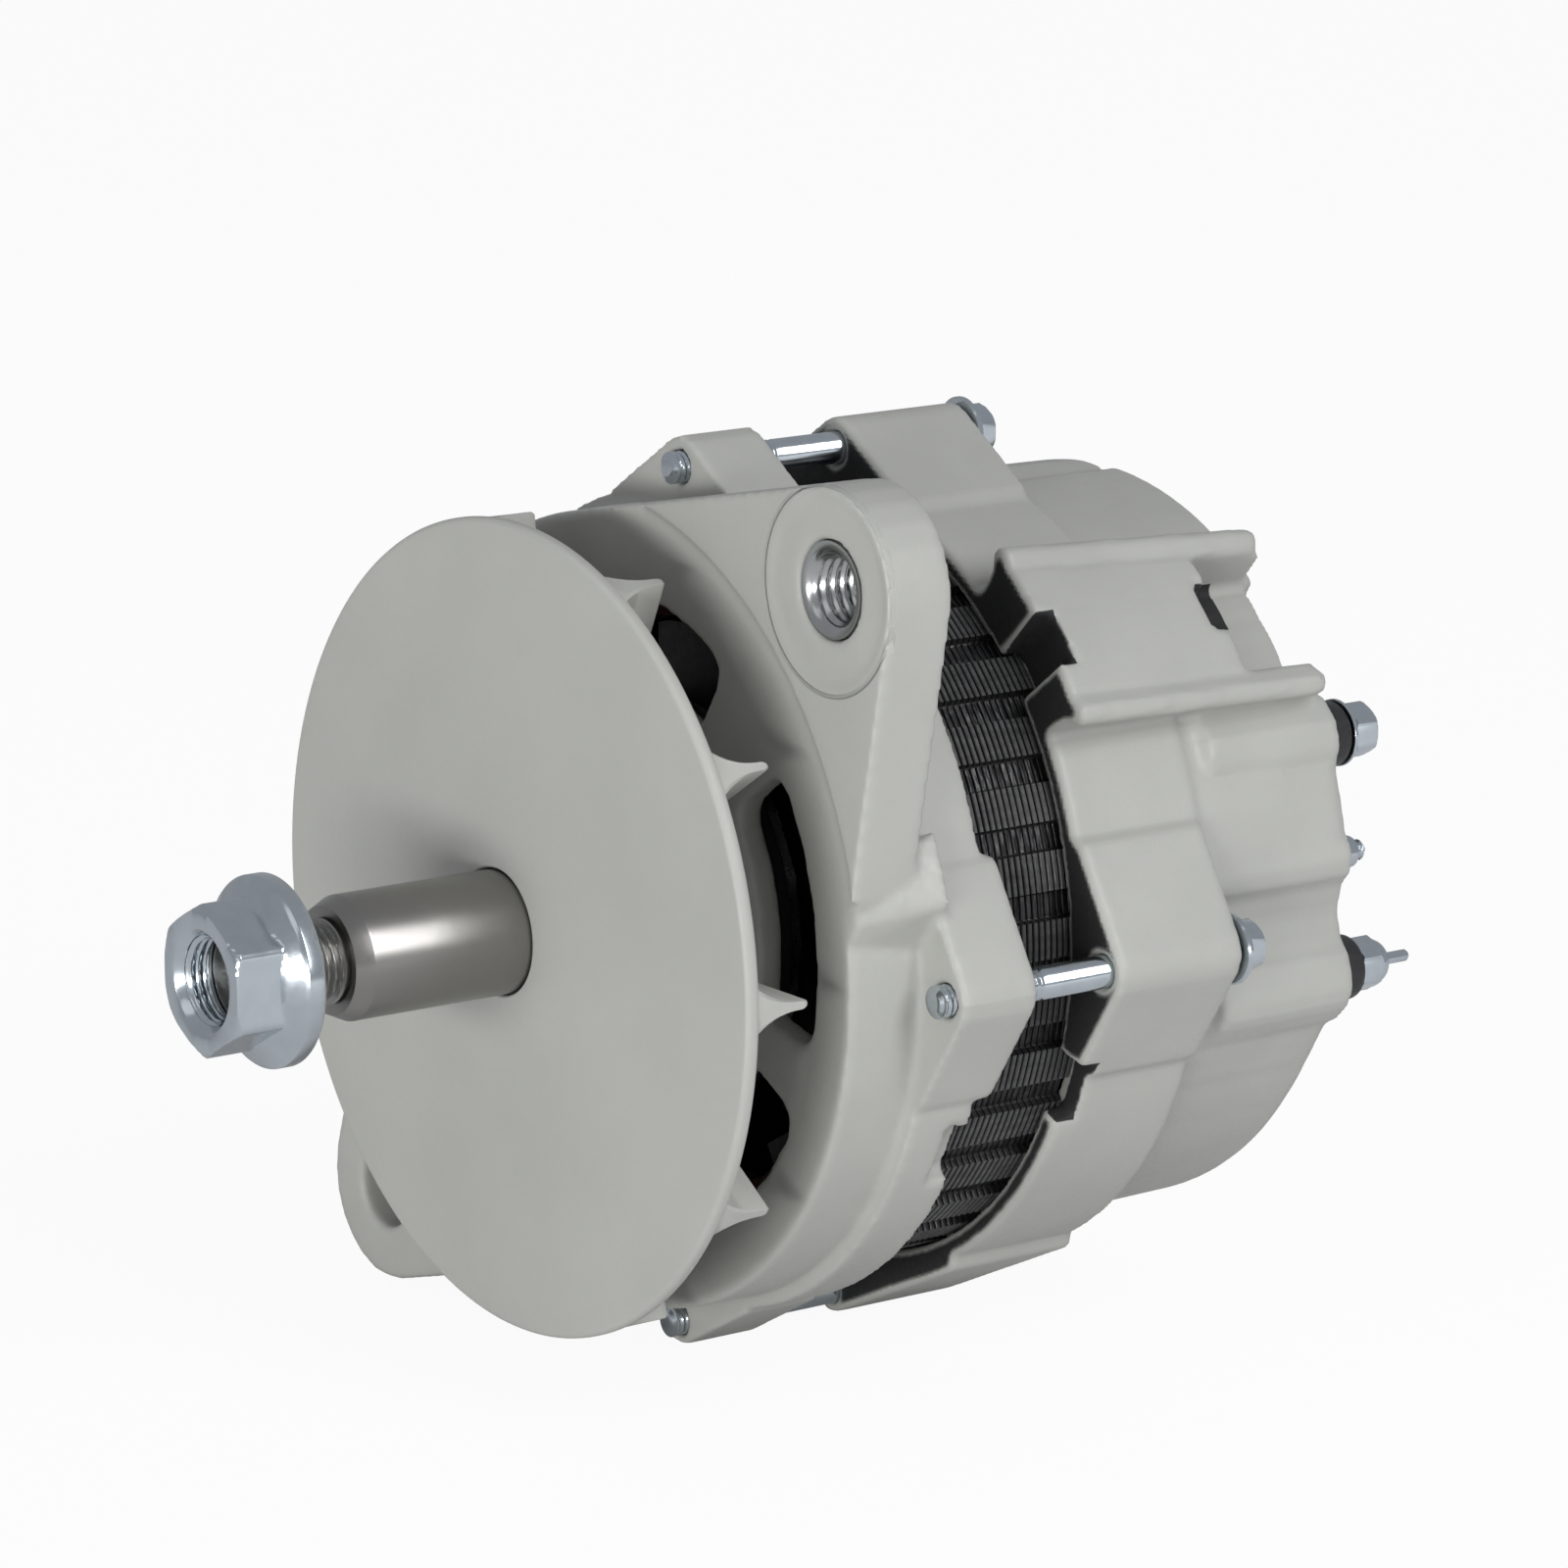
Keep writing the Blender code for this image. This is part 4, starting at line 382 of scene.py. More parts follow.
def spun(rows, columns, closed=False, centre=(0, 0)):
    """A turned solid about the Y axis from rows of a station and a radius, which may be a rule of the angle. The
    angle runs from +Z towards +X. A closed one comes back to its first row, an open one has a point at each end."""
    work = bmesh.new()
    loops = []
    for y, radius in rows:
        loop = []
        for column in range(columns):
            turn = math.tau * column / columns
            out = radius(turn) if callable(radius) else radius
            place = (centre[0] + out * math.sin(turn), y, centre[1] + out * math.cos(turn))
            loop.append(work.verts.new(place))
        loops.append(loop)
    pairs = list(zip(loops, loops[1:]))
    if closed:
        pairs.append((loops[-1], loops[0]))
    for near, far in pairs:
        for column in range(columns):
            beside = (column + 1) % columns
            work.faces.new((near[column], near[beside], far[beside], far[column]))
    if not closed:
        for loop, (y, radius) in ((loops[0], rows[0]), (loops[-1], rows[-1])):
            tip = work.verts.new((centre[0], y, centre[1]))
            for column in range(columns):
                work.faces.new((loop[column], loop[(column + 1) % columns], tip))
    return work


def piece_from(work, name, material, body, node=None, smooth=35):
    """The finished piece: faces outward, soft shading between faces that meet at less than an angle, and its body."""
    bmesh.ops.recalc_face_normals(work, faces=work.faces)
    mesh = bpy.data.meshes.new(name)
    work.to_mesh(mesh)
    work.free()
    mesh.polygons.foreach_set("use_smooth", [True] * len(mesh.polygons))
    mesh.set_sharp_from_angle(angle=math.radians(smooth))
    mesh.materials.append(material)
    piece = bpy.data.objects.new(name, mesh)
    bpy.context.scene.collection.objects.link(piece)
    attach(piece, body)
    if node is not None:
        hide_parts(node)
    return piece


def corner(radius, y, size, start, end, steps=5):
    """Rows of a rounded edge about a centre; nought degrees points outwards and a quarter turn to the rear."""
    rows = []
    for step in range(steps + 1):
        turn = math.radians(start + (end - start) * step / steps)
        rows.append((y + size * math.sin(turn), radius + size * math.cos(turn)))
    return rows


def repeated(name, work, count, first, turn, pitch, material):
    """Copies of a form, each turned about the shaft and moved along it by one more step, joined into one mesh."""
    group = bpy.data.node_groups.new(name, "GeometryNodeTree")
    face = group.interface
    face.new_socket("Form", in_out="INPUT", socket_type="NodeSocketGeometry")
    values = {}
    for label, kind, value in (
        ("Count", "NodeSocketInt", count),
        ("First turn", "NodeSocketFloat", math.radians(first)),
        ("Turn", "NodeSocketFloat", math.radians(turn)),
        ("Pitch", "NodeSocketFloat", pitch),
        ("Material", "NodeSocketMaterial", material),
    ):
        values[face.new_socket(label, in_out="INPUT", socket_type=kind).identifier] = value
    face.new_socket("Copies", in_out="OUTPUT", socket_type="NodeSocketGeometry")
    made = {}
    for key, kind in (
        ("given", "NodeGroupInput"), ("points", "GeometryNodePoints"), ("index", "GeometryNodeInputIndex"),
        ("turns", "ShaderNodeMath"), ("along", "ShaderNodeMath"), ("spin", "ShaderNodeCombineXYZ"),
        ("place", "ShaderNodeCombineXYZ"), ("copies", "GeometryNodeInstanceOnPoints"),
        ("real", "GeometryNodeRealizeInstances"), ("coat", "GeometryNodeSetMaterial"), ("out", "NodeGroupOutput"),
    ):
        made[key] = group.nodes.new(kind)
    made["turns"].operation = "MULTIPLY_ADD"
    made["along"].operation = "MULTIPLY"
    given = made["given"].outputs
    for source, target in (
        (given["Count"], made["points"].inputs["Count"]),
        (made["index"].outputs[0], made["turns"].inputs[0]),
        (given["Turn"], made["turns"].inputs[1]),
        (given["First turn"], made["turns"].inputs[2]),
        (made["index"].outputs[0], made["along"].inputs[0]),
        (given["Pitch"], made["along"].inputs[1]),
        (made["turns"].outputs[0], made["spin"].inputs["Y"]),
        (made["along"].outputs[0], made["place"].inputs["Y"]),
        (made["place"].outputs[0], made["points"].inputs["Position"]),
        (made["points"].outputs[0], made["copies"].inputs["Points"]),
        (given["Form"], made["copies"].inputs["Instance"]),
        (made["spin"].outputs[0], made["copies"].inputs["Rotation"]),
        (made["copies"].outputs[0], made["real"].inputs[0]),
        (made["real"].outputs[0], made["coat"].inputs["Geometry"]),
        (given["Material"], made["coat"].inputs["Material"]),
        (made["coat"].outputs[0], made["out"].inputs[0]),
    ):
        group.links.new(source, target)
    bmesh.ops.recalc_face_normals(work, faces=work.faces)
    form = bpy.data.meshes.new(name + "_form")
    work.to_mesh(form)
    work.free()
    form.polygons.foreach_set("use_smooth", [True] * len(form.polygons))
    form.set_sharp_from_angle(angle=math.radians(35))
    rough = bpy.data.objects.new(name + "_rough", form)
    bpy.context.scene.collection.objects.link(rough)
    rule = rough.modifiers.new("repeat", "NODES")
    rule.node_group = group
    for identifier, value in values.items():
        rule[identifier] = value
    bpy.context.view_layer.update()
    mesh = bpy.data.meshes.new_from_object(rough.evaluated_get(bpy.context.evaluated_depsgraph_get()))
    bpy.data.objects.remove(rough)
    mesh.name = name
    piece = bpy.data.objects.new(name, mesh)
    bpy.context.scene.collection.objects.link(piece)
    return piece


def lofted(rings):
    """A closed body through rings of as many points, with a face at each end."""
    work = bmesh.new()
    loops = [[work.verts.new(point) for point in ring] for ring in rings]
    for near, far in zip(loops, loops[1:]):
        for step in range(len(near)):
            beside = (step + 1) % len(near)
            work.faces.new((near[step], near[beside], far[beside], far[step]))
    work.faces.new(loops[0])
    work.faces.new(loops[-1])
    return work


def fan_paint():
    """The castings' paint on pressed plate: a smoother skin with a faint grain."""
    made, tree, main = shader_tree("fan paint", paint_colour, 0.5, 0.0)
    tinted(tree, main, paint_colour, remap(tree, noise(tree, 40, 4), 0.97, 1.03))
    tree.links.new(remap(tree, noise(tree, 700, 2), 0.44, 0.56), main.inputs["Roughness"])
    grain = bumped(tree, main, noise(tree, 1700, 3), 0.08 * MM, 0.28)
    bumped(tree, main, noise(tree, 300, 2), 0.12 * MM, 0.12, grain)
    return made


grey = fan_paint()
rows = [(fan_hub_rear_y, fan_bore), (fan_hub_y + bore_break, fan_bore), (fan_hub_y, fan_bore + bore_break)]
for step in range(dish_rows + 1):
    share = step / dish_rows
    out = fan_hub + (fan_edge - fan_round - fan_hub) * share
    rows.append((fan_hub_y + (fan_rim_y - fan_hub_y) * ((1 + dish_fall) * share - dish_fall * share**3), out))
rows += corner(fan_edge - fan_round, fan_rim_y + fan_round, fan_round, -90, 0)[1:]
rows += corner(fan_edge - fan_round, fan_back_y - fan_round, fan_round, 0, 90)
rows += [(fan_back_y, fan_hub + hub_slope), (fan_back_y + hub_slope, fan_hub), (fan_hub_rear_y, fan_hub)]
piece_from(spun(rows, 192, True), "fan_plate", grey, "rotor", "cooling_fan")

half = [(blade_half_root, fan_back_y - blade_sink)]
for step in range(flank_steps + 1):
    share = step / flank_steps
    width = blade_half_edge + (blade_half_root - blade_half_edge) * (1 - share) ** flank_power
    half.append((width, fan_back_y + (blade_edge_y - blade_half_edge - fan_back_y) * share))
half += [(blade_half_edge * share, blade_edge_y - drop) for share, drop in edge_rounds]
outline = half + [(-x, y) for x, y in reversed(half)]
rings = []
for radius, width, height in (
    (blade_reach[0], 0.6, 0.75),
    (blade_reach[0] + blade_end_break[0], 1, 1),
    (blade_reach[1] - blade_end_break[1], 1, 1),
    (blade_reach[1], 0.8, 0.95),
):
    rings.append([(x * width, fan_back_y + (y - fan_back_y) * height, radius) for x, y in outline])
blades = repeated("fan_blades", lofted(rings), blade_count, blade_first, 360 / blade_count, 0, grey)
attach(blades, "rotor")

# The shaft is hardened steel, turned and ground: a fine thread at the front, a chamfer, and the long journal that
# carries the pulley. Seats for the bearings, the poles and the rings follow inside.
shaft_tip_radius, thread_start, thread_end = 6.2 * MM, 0.02 * MM, 17.6 * MM
thread_radius, thread_pitch, thread_depth = 7.6 * MM, 1.411 * MM, 0.80 * MM
thread_steps, thread_flank = 14, 1.25
relief_start, relief_radius = 17.65 * MM, 6.95 * MM
journal_front, journal_radius, chamfer, chamfer_length = 18.2 * MM, 11.11 * MM, 1.5 * MM, 3.0 * MM
chamfer_blend, chamfer_blend_length = 0.06 * MM, 0.3 * MM
front_seat_y, front_seat_radius = 72.0 * MM, 12.5 * MM
pole_seat_y, pole_seat_radius = (91.6 * MM, 136.2 * MM), 14.0 * MM
ring_seat_end, ring_seat_radius = 171.2 * MM, 10.0 * MM
shaft_end, rear_seat_radius = 183.5 * MM, 8.5 * MM


def thread_rows(start, end, radius, pitch, depth, steps):
    """Rows of a helical thread, which fades in and out over half a pitch at its ends. On a shaft its depth is cut
    from the radius, and in a bore its ridges stand inwards from the radius."""
    rows = []
    count = max(int((end - start) / pitch * steps), 2)
    for step in range(count + 1):
        y = start + (end - start) * step / count
        fade = min(1, (y - start) / (pitch / 2), (end - y) / (pitch / 2))

        def rule(turn, y=y, fade=max(fade, 0)):
            phase = (y / pitch - turn / math.tau) % 1
            return radius - depth * fade * min(1, abs(2 * phase - 1) * thread_flank)

        rows.append((y, rule))
    return rows


def metal(name, colour, roughness, lines=None, wear=0.06):
    """Plated or bare metal, with patches of wear, fine scratches and, where it was turned, tool lines round it."""
    made, tree, main = shader_tree(name, colour, roughness, 1.0)
    tinted(tree, main, colour, remap(tree, noise(tree, 260, 5), 1 - wear, 1 + wear))
    rubbed = 1 + 3 * wear
    tree.links.new(remap(tree, noise(tree, 800, 3), roughness / rubbed, roughness * rubbed), main.inputs["Roughness"])
    relief = bumped(tree, main, noise(tree, 2600, 2), 0.02 * MM, 0.12)
    if lines is not None:
        bumped(tree, main, noise(tree, lines, 2, (0.01, 1, 0.01)), 0.02 * MM, 0.25, relief)
    return made


ground_steel = metal("ground steel", (0.30, 0.292, 0.28, 1), 0.30, 5200, 0.02)
rows = [(0.0, shaft_tip_radius)]
rows += thread_rows(thread_start, thread_end, thread_radius, thread_pitch, thread_depth, thread_steps)
rows += [(relief_start, relief_radius), (journal_front, relief_radius), (journal_front, journal_radius - chamfer)]
rows += [(journal_front + chamfer_length, journal_radius - chamfer_blend)]
rows += [(journal_front + chamfer_length + chamfer_blend_length, journal_radius), (front_seat_y, journal_radius)]
rows += [(front_seat_y, front_seat_radius), (pole_seat_y[0], front_seat_radius), (pole_seat_y[0], pole_seat_radius)]
rows += [(pole_seat_y[1], pole_seat_radius), (pole_seat_y[1], ring_seat_radius), (ring_seat_end, ring_seat_radius)]
rows += [(ring_seat_end, rear_seat_radius), (shaft_end, rear_seat_radius)]
piece_from(spun(rows, 120), "shaft", ground_steel, "rotor", "rotor_shaft")

# The pulley nut is a cold-formed flange nut with bright zinc plate: a hexagon whose front is turned to a blunt cone,
# a sloping collar and a broad flange. Its thread runs right through.
zinc = metal("bright zinc", (0.56, 0.61, 0.65, 1), 0.17, None, 0.04)
nut_front, nut_seat, nut_rim, nut_cone = -7.0 * MM, 7.9 * MM, 4.5 * MM, 1.9 * MM
nut_flats, nut_corner, nut_chamfer = 24.0 * MM, 13.86 * MM, 1.6 * MM
nut_flange, nut_cone_radius, nut_mouth, nut_mouth_depth = 16.9 * MM, 12.6 * MM, 9.1 * MM, 1.5 * MM
nut_mouth_floor, nut_mouth_lip, nut_edge, nut_rows = 7.9 * MM, (0.1 * MM, 0.3 * MM), 0.25 * MM, 40
flange_round, flange_rise = 0.5 * MM, 0.45 * MM
nut_bore, nut_rear_mouth, nut_rear_depth = 7.92 * MM, 8.3 * MM, 0.4 * MM
nut_thread_start, nut_thread_end, nut_bore_step = 0.1 * MM, -0.5 * MM, -0.4 * MM
cone_slope, corner_limit, corner_softness = 2, 0.985, 0.012


def hexed(flats, limit):
    """The radius of a hexagon with a corner straight up, cut back to a limit with a soft corner."""
    def rule(turn):
        flat = flats / 2 / math.cos(turn % math.radians(60) - math.radians(30))
        blend = flats * corner_softness
        share = max(0.0, min(1.0, 0.5 + (limit - flat) / (2 * blend)))
        return limit * (1 - share) + flat * share - blend * share * (1 - share)
    return rule


def nut_row(y):
    """The nut's outline at a station: a hexagon under the cone of its front, or the collar, whichever is larger."""
    front = nut_corner - nut_chamfer + (y - nut_front) * cone_slope
    collar = 0.0
    if y > nut_cone:
        collar = nut_cone_radius + (nut_flange - nut_cone_radius) * min((y - nut_cone) / (nut_rim - nut_cone), 1)
    hexagon = hexed(nut_flats, min(front, nut_corner * corner_limit))

    def rule(turn):
        return max(hexagon(turn), collar)
    return rule


rows = [(nut_front + nut_mouth_depth, nut_mouth_floor), (nut_front + nut_edge, nut_mouth - nut_mouth_lip[0])]
rows += [(nut_front, nut_mouth + nut_mouth_lip[1])]
for step in range(nut_rows + 1):
    y = nut_front + (nut_rim - nut_edge - nut_front) * step / nut_rows
    rows.append((y, nut_row(y)))
rows += corner(nut_flange - flange_round, nut_rim + flange_rise, flange_round, -60, 0, 4)
rows += corner(nut_flange - flange_round, nut_seat - flange_round, flange_round, 0, 90, 4)
rows += [(nut_seat, nut_rear_mouth), (nut_seat - nut_rear_depth, nut_bore), (nut_bore_step, nut_bore)]
first_turn = nut_front + nut_mouth_depth + nut_thread_start
rows += reversed(thread_rows(first_turn, nut_thread_end, nut_bore, thread_pitch, thread_depth, thread_steps))
piece_from(spun(rows, 240, True), "pulley_nut", zinc, "rotor", "shaft_nut")

# The adjusting ear's thread insert is a steel bush with a coarse thread, plated bright and pressed in from the front.
# Its mouth is countersunk.
insert_front, insert_rear, insert_radius, insert_mouth = 76.4 * MM, 88.6 * MM, 8.4 * MM, 7.3 * MM
insert_bore, insert_pitch, insert_depth, insert_mouth_depth = 6.45 * MM, 1.954 * MM, 0.95 * MM, 0.7 * MM
insert_plate = metal("insert plate", (0.46, 0.47, 0.47, 1), 0.20, None, 0.04)
rows = [(insert_front, insert_mouth), (insert_front, insert_radius)]
rows += [(insert_rear, insert_radius), (insert_rear, insert_mouth)]
coil_start, coil_end = insert_front + insert_mouth_depth, insert_rear - insert_mouth_depth
rows += reversed(thread_rows(coil_start, coil_end, insert_bore, insert_pitch, insert_depth, 16))
piece_from(spun(rows, 144, True, ear_place), "ear_insert", insert_plate, "housing", "adjusting_ear_insert", 50)

# The stator is a stack of thin steel laminations, welded in grooves between ribs and lacquered black. The sheets'
# edges stand out as fine ridges, and the lacquer is worn bright along them.
stator_front, stator_back, sheet_count, sheet_gap = 100.9 * MM, 130.9 * MM, 23, 0.13
sheet_pitch = (stator_back - stator_front) / sheet_count
sheet_profile = ((0.0, 0.22), (0.22, 0.0), (0.80, 0.0), (1.04, 0.22))
rib_radius, groove_radius, bore_radius, slot_radius = 68.75 * MM, 67.0 * MM, 50.6 * MM, 61.6 * MM
outer_shape = (
    (-2.85, rib_radius), (-1.4, rib_radius), (0, rib_radius), (1.4, rib_radius), (2.85, rib_radius),
    (3.25, groove_radius), (5.0, groove_radius), (6.75, groove_radius),
)
inner_shape = (
    (-1.23, slot_radius), (-0.85, bore_radius), (0.5, bore_radius), (2.0, bore_radius), (3.5, bore_radius),
    (4.85, bore_radius), (5.23, slot_radius), (7.0, slot_radius),
)
rib_middle, pole_pitch, slot_count = 8.0, 10.0, 36
lacquer_black, lacquer_worn = (0.013, 0.013, 0.014, 1), (0.075, 0.075, 0.075, 1)


def sheet():
    """One lamination as a closed ring, with a rib, a groove and a slot in each pitch."""
    work = bmesh.new()
    rings = []
    for y, inset in sheet_profile:
        outer, inner = [], []
        for number in range(slot_count):
            for loop, shape, less in ((outer, outer_shape, inset * MM), (inner, inner_shape, 0)):
                for turn, radius in shape:
                    angle = math.radians(rib_middle + pole_pitch * number + turn)
                    out = radius - less
                    place = (out * math.sin(angle), stator_front + (y + sheet_gap) * MM, out * math.cos(angle))
                    loop.append(work.verts.new(place))
        rings.append((outer, inner))
    first, last = rings[0], rings[-1]
    pairs = [(near[0], far[0]) for near, far in zip(rings, rings[1:])]
    pairs += [(last[0], last[1]), (last[1], first[1]), (first[1], first[0])]
    for near, far in pairs:
        for step in range(len(near)):
            beside = (step + 1) % len(near)
            work.faces.new((near[step], near[beside], far[beside], far[step]))
    for outer, inner in rings[1:-1]:
        for vertex in inner:
            work.verts.remove(vertex)
    return work


lacquer, tree, main = shader_tree("stator lacquer", lacquer_black, 0.42, 0.0)
radius = shaft_place(tree)[0]
worn = remap(tree, radius, 0, 1, rib_radius - 0.16 * MM, rib_radius - 0.04 * MM)
worn = maths(tree, "MULTIPLY", worn, remap(tree, noise(tree, 900, 4, (1, 0.2, 1)), 0.35, 1.0))
mix = tree.nodes.new("ShaderNodeMix")
mix.data_type = "RGBA"
mix.inputs["A"].default_value = lacquer_black
mix.inputs["B"].default_value = lacquer_worn
tree.links.new(worn, mix.inputs["Factor"])
tree.links.new(mix.outputs["Result"], main.inputs["Base Color"])
tree.links.new(remap(tree, noise(tree, 700, 3), 0.30, 0.50), main.inputs["Roughness"])
runs = bumped(tree, main, noise(tree, 900, 3), 0.12 * MM, 0.5)
in_groove = remap(tree, radius, 1, 0, groove_radius - 0.1 * MM, groove_radius + 0.4 * MM)
beads = maths(tree, "MULTIPLY", noise(tree, 520, 2, (0.35, 1, 0.35)), in_groove)
bumped(tree, main, beads, 1.1 * MM, 1.0, runs)
stator = repeated("stator_stack", sheet(), sheet_count, 0, 0, sheet_pitch, lacquer)
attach(stator, "housing")
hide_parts("stator_core")

# The bolts that clamp the frames are long flange-head screws in zinc plate, threaded where they end in the front
# lobes. The lowest is a stud without a head, screwed into both lobes.
bolt_circle, bolt_turns = 78.6 * MM, (0.0, 91.3, 181.0, 270.0)
bolt_radius, bolt_neck, bolt_pitch, bolt_depth = 2.9 * MM, 2.62 * MM, 1.06 * MM, 0.36 * MM
bolt_tip, bolt_thread_start, bolt_thread_end, bolt_seat = 90.0 * MM, 90.6 * MM, 111.6 * MM, 154.1 * MM
bolt_flange_top, bolt_top, bolt_flange, bolt_flats = 155.5 * MM, 159.7 * MM, 6.4 * MM, 8.48 * MM
headless_bolt, stud_end, stud_break = 3, 142.2 * MM, 0.4 * MM


def profile(start, *steps):
    """Rows of a turned form: each step is a distance behind the start and a radius, both in millimetres. The radius
    may be a hexagon's rule."""
    return [(start + along * MM, out if callable(out) else out * MM) for along, out in steps]


for number, angle in enumerate(bolt_turns, 1):
    place = (bolt_circle * math.sin(math.radians(angle)), bolt_circle * math.cos(math.radians(angle)))
    rows = profile(bolt_tip, (0, 1.2), (0.12, 1.9), (0.5, 2.45))
    rows += thread_rows(bolt_thread_start, bolt_thread_end, bolt_radius, bolt_pitch, bolt_depth, 10)
    rows += [(bolt_thread_end + 0.3 * MM, bolt_neck), (bolt_thread_end + 0.7 * MM, bolt_neck)]
    rows += [(bolt_thread_end + 1.1 * MM, bolt_radius)]
    if number == headless_bolt:
        rows += [(stud_end - stud_break, bolt_radius), (stud_end, bolt_radius - stud_break)]
    else:
        rows += [(bolt_seat, bolt_radius), (bolt_seat, bolt_flange - 0.3 * MM)]
        rows += [(bolt_seat + 0.3 * MM, bolt_flange), (bolt_seat + 0.9 * MM, bolt_flange)]
        rows += [(bolt_flange_top - 0.1 * MM, bolt_flange - 0.6 * MM)]
        full, cut, small = [hexed(bolt_flats, limit * MM) for limit in (4.85, 4.4, 3.7)]
        rows += profile(bolt_flange_top, (0, full)) + profile(bolt_top, (-0.9, full), (-0.3, cut), (0, small))
    name = f"through_bolt_{number}"
    piece_from(spun(rows, 72, False, place), f"clamp_bolt_{number}", zinc, "housing", name)

# The terminals on the rear edge: two studs in moulded black collars, one under a washer and a nut and one under a cap
# nut with a thin tip, and a small pointed screw between them.
terminal_seat, collar_top, first_seat = 189.1 * MM, 194.3 * MM, 194.6 * MM
terminal_circle, terminal_flats, terminal_corners = 65.0 * MM, 9.0 * MM, (4.55 * MM, 4.9 * MM, 5.1 * MM)
terminals = (("output", 102.5, 163.8 * MM), ("ground", 64.4, 176.8 * MM))
terminal_bore, collar_foot_y, collar_foot, collar_round = 3.2 * MM, 184.1 * MM, 4.6 * MM, 0.7 * MM
cap_height, dome_height, dome_spread, dome_steps, tip_radius = 5.0 * MM, 3.0 * MM, 3.1 * MM, 9, 1.1 * MM
nut_low, nut_high = first_seat + 1.6 * MM, first_seat + 6.6 * MM
shank_ends = {"output": first_seat + 4.9 * MM, "ground": nut_high + 1.8 * MM}
shank_radius, shank_pitch, shank_depth, shank_head = 2.9 * MM, 0.9 * MM, 0.3 * MM, 2.4 * MM
shank_flats, shank_corners = 8.66 * MM, (4.7 * MM, 5.0 * MM)
moulding_black = (0.014, 0.014, 0.015, 1)
moulding, tree, main = shader_tree("black moulding", moulding_black, 0.42, 0.0)
tinted(tree, main, moulding_black, remap(tree, noise(tree, 300, 3), 0.8, 1.3))
tree.links.new(remap(tree, noise(tree, 900, 2), 0.34, 0.5), main.inputs["Roughness"])
bumped(tree, main, noise(tree, 1800, 2), 0.04 * MM, 0.4)
for key, angle, head in terminals:
    place = (terminal_circle * math.sin(math.radians(angle)), terminal_circle * math.cos(math.radians(angle)))
    rows = [(collar_foot_y, terminal_bore), (collar_foot_y, collar_foot), (terminal_seat, collar_foot)]
    rows += profile(terminal_seat, (0, 5.9), (0.3, 6.1)) + profile(collar_top, (-1.3, 6.0))
    rows += corner(5.2 * MM, collar_top - collar_round, collar_round, 10, 90, 4) + [(collar_top, terminal_bore)]
    collar = spun(rows, 72, True, place)
    piece_from(collar, f"{key}_collar", moulding, "housing", f"{key}_insulator")
    broken, soft, full = [hexed(terminal_flats, limit) for limit in terminal_corners]
    if key == "output":
        top = first_seat + cap_height
        rows = [(first_seat, terminal_bore)] + profile(first_seat, (0, broken), (0.3, full))
        rows += profile(top, (-0.5, full), (0, broken), (0.15, 4.2))
        for step in range(1, dome_steps):
            turn = math.radians(step * 90 / dome_steps)
            rows.append((top + dome_height * math.sin(turn), tip_radius + dome_spread * math.cos(turn)))
        rows += profile(top, (3.1, 1.25), (3.6, 1.1), (8.5, 1.08), (8.9, 0.8), (9.0, 0.3))
        rows += profile(top, (8.8, 0.02), (0.4, 0.02), (0.35, 3.2))
        piece_from(spun(rows, 96, True, place), "output_cap", zinc, "housing", "output_nut")
    else:
        rows = profile(first_seat, (0, 3.2), (0, 6.0), (0.1, 6.1), (0.6, 6.1), (0.7, 5.35), (1.2, 5.35))
        rows += profile(first_seat, (1.3, 5.2), (1.3, 3.2))
        piece_from(spun(rows, 72, True, place), "ground_ring", zinc, "housing", "ground_washer")
        rows = profile(nut_low, (0, 3.2), (0, broken), (0.3, full))
        rows += profile(nut_high, (-0.6, full), (-0.2, soft), (0, broken), (0, 3.5), (-0.3, 3.2))
        piece_from(spun(rows, 96, True, place), "ground_hex", zinc, "housing", "ground_nut")
    shank_end = shank_ends[key]
    cut, full = [hexed(shank_flats, limit) for limit in shank_corners]
    rows = profile(head, (0, cut), (0.3, full)) + [(head + shank_head, full), (head + shank_head, shank_radius)]
    rows += [(first_seat, shank_radius)]
    rows += thread_rows(first_seat + 0.2 * MM, shank_end - 0.5 * MM, shank_radius, shank_pitch, shank_depth, 10)
    rows += profile(shank_end, (-0.25, 2.3), (0, 1.3))
    piece_from(spun(rows, 72, False, place), f"{key}_post", zinc, "housing", f"{key}_stud")

relay_circle, relay_turn, relay_foot, relay_radius = 67.0 * MM, math.radians(83.0), 184.8 * MM, 1.9 * MM
relay_thread_y, relay_pitch = (184.9 * MM, 189.0 * MM), 0.7 * MM
relay_end_y, relay_end_pitch, relay_depth = (192.4 * MM, 193.9 * MM), 0.6 * MM, 0.25 * MM
place = (relay_circle * math.sin(relay_turn), relay_circle * math.cos(relay_turn))
rows = profile(relay_foot, (0, 1.5)) + thread_rows(*relay_thread_y, relay_radius, relay_pitch, relay_depth, 8)
rows += profile(terminal_seat, (0, 1.9), (0, 2.6), (0.2, 2.9), (1.8, 2.9))
rows += corner(2.1 * MM, terminal_seat + 2.4 * MM, 0.8 * MM, 0, 90) + profile(terminal_seat, (3.2, 1.9))
rows += thread_rows(*relay_end_y, relay_radius, relay_end_pitch, relay_depth, 8)
rows += profile(terminal_seat, (5.5, 1.2), (6.1, 0.6), (6.2, 0.2))
piece_from(spun(rows, 60, False, place), "relay_screw", zinc, "housing", "relay_terminal_screw")

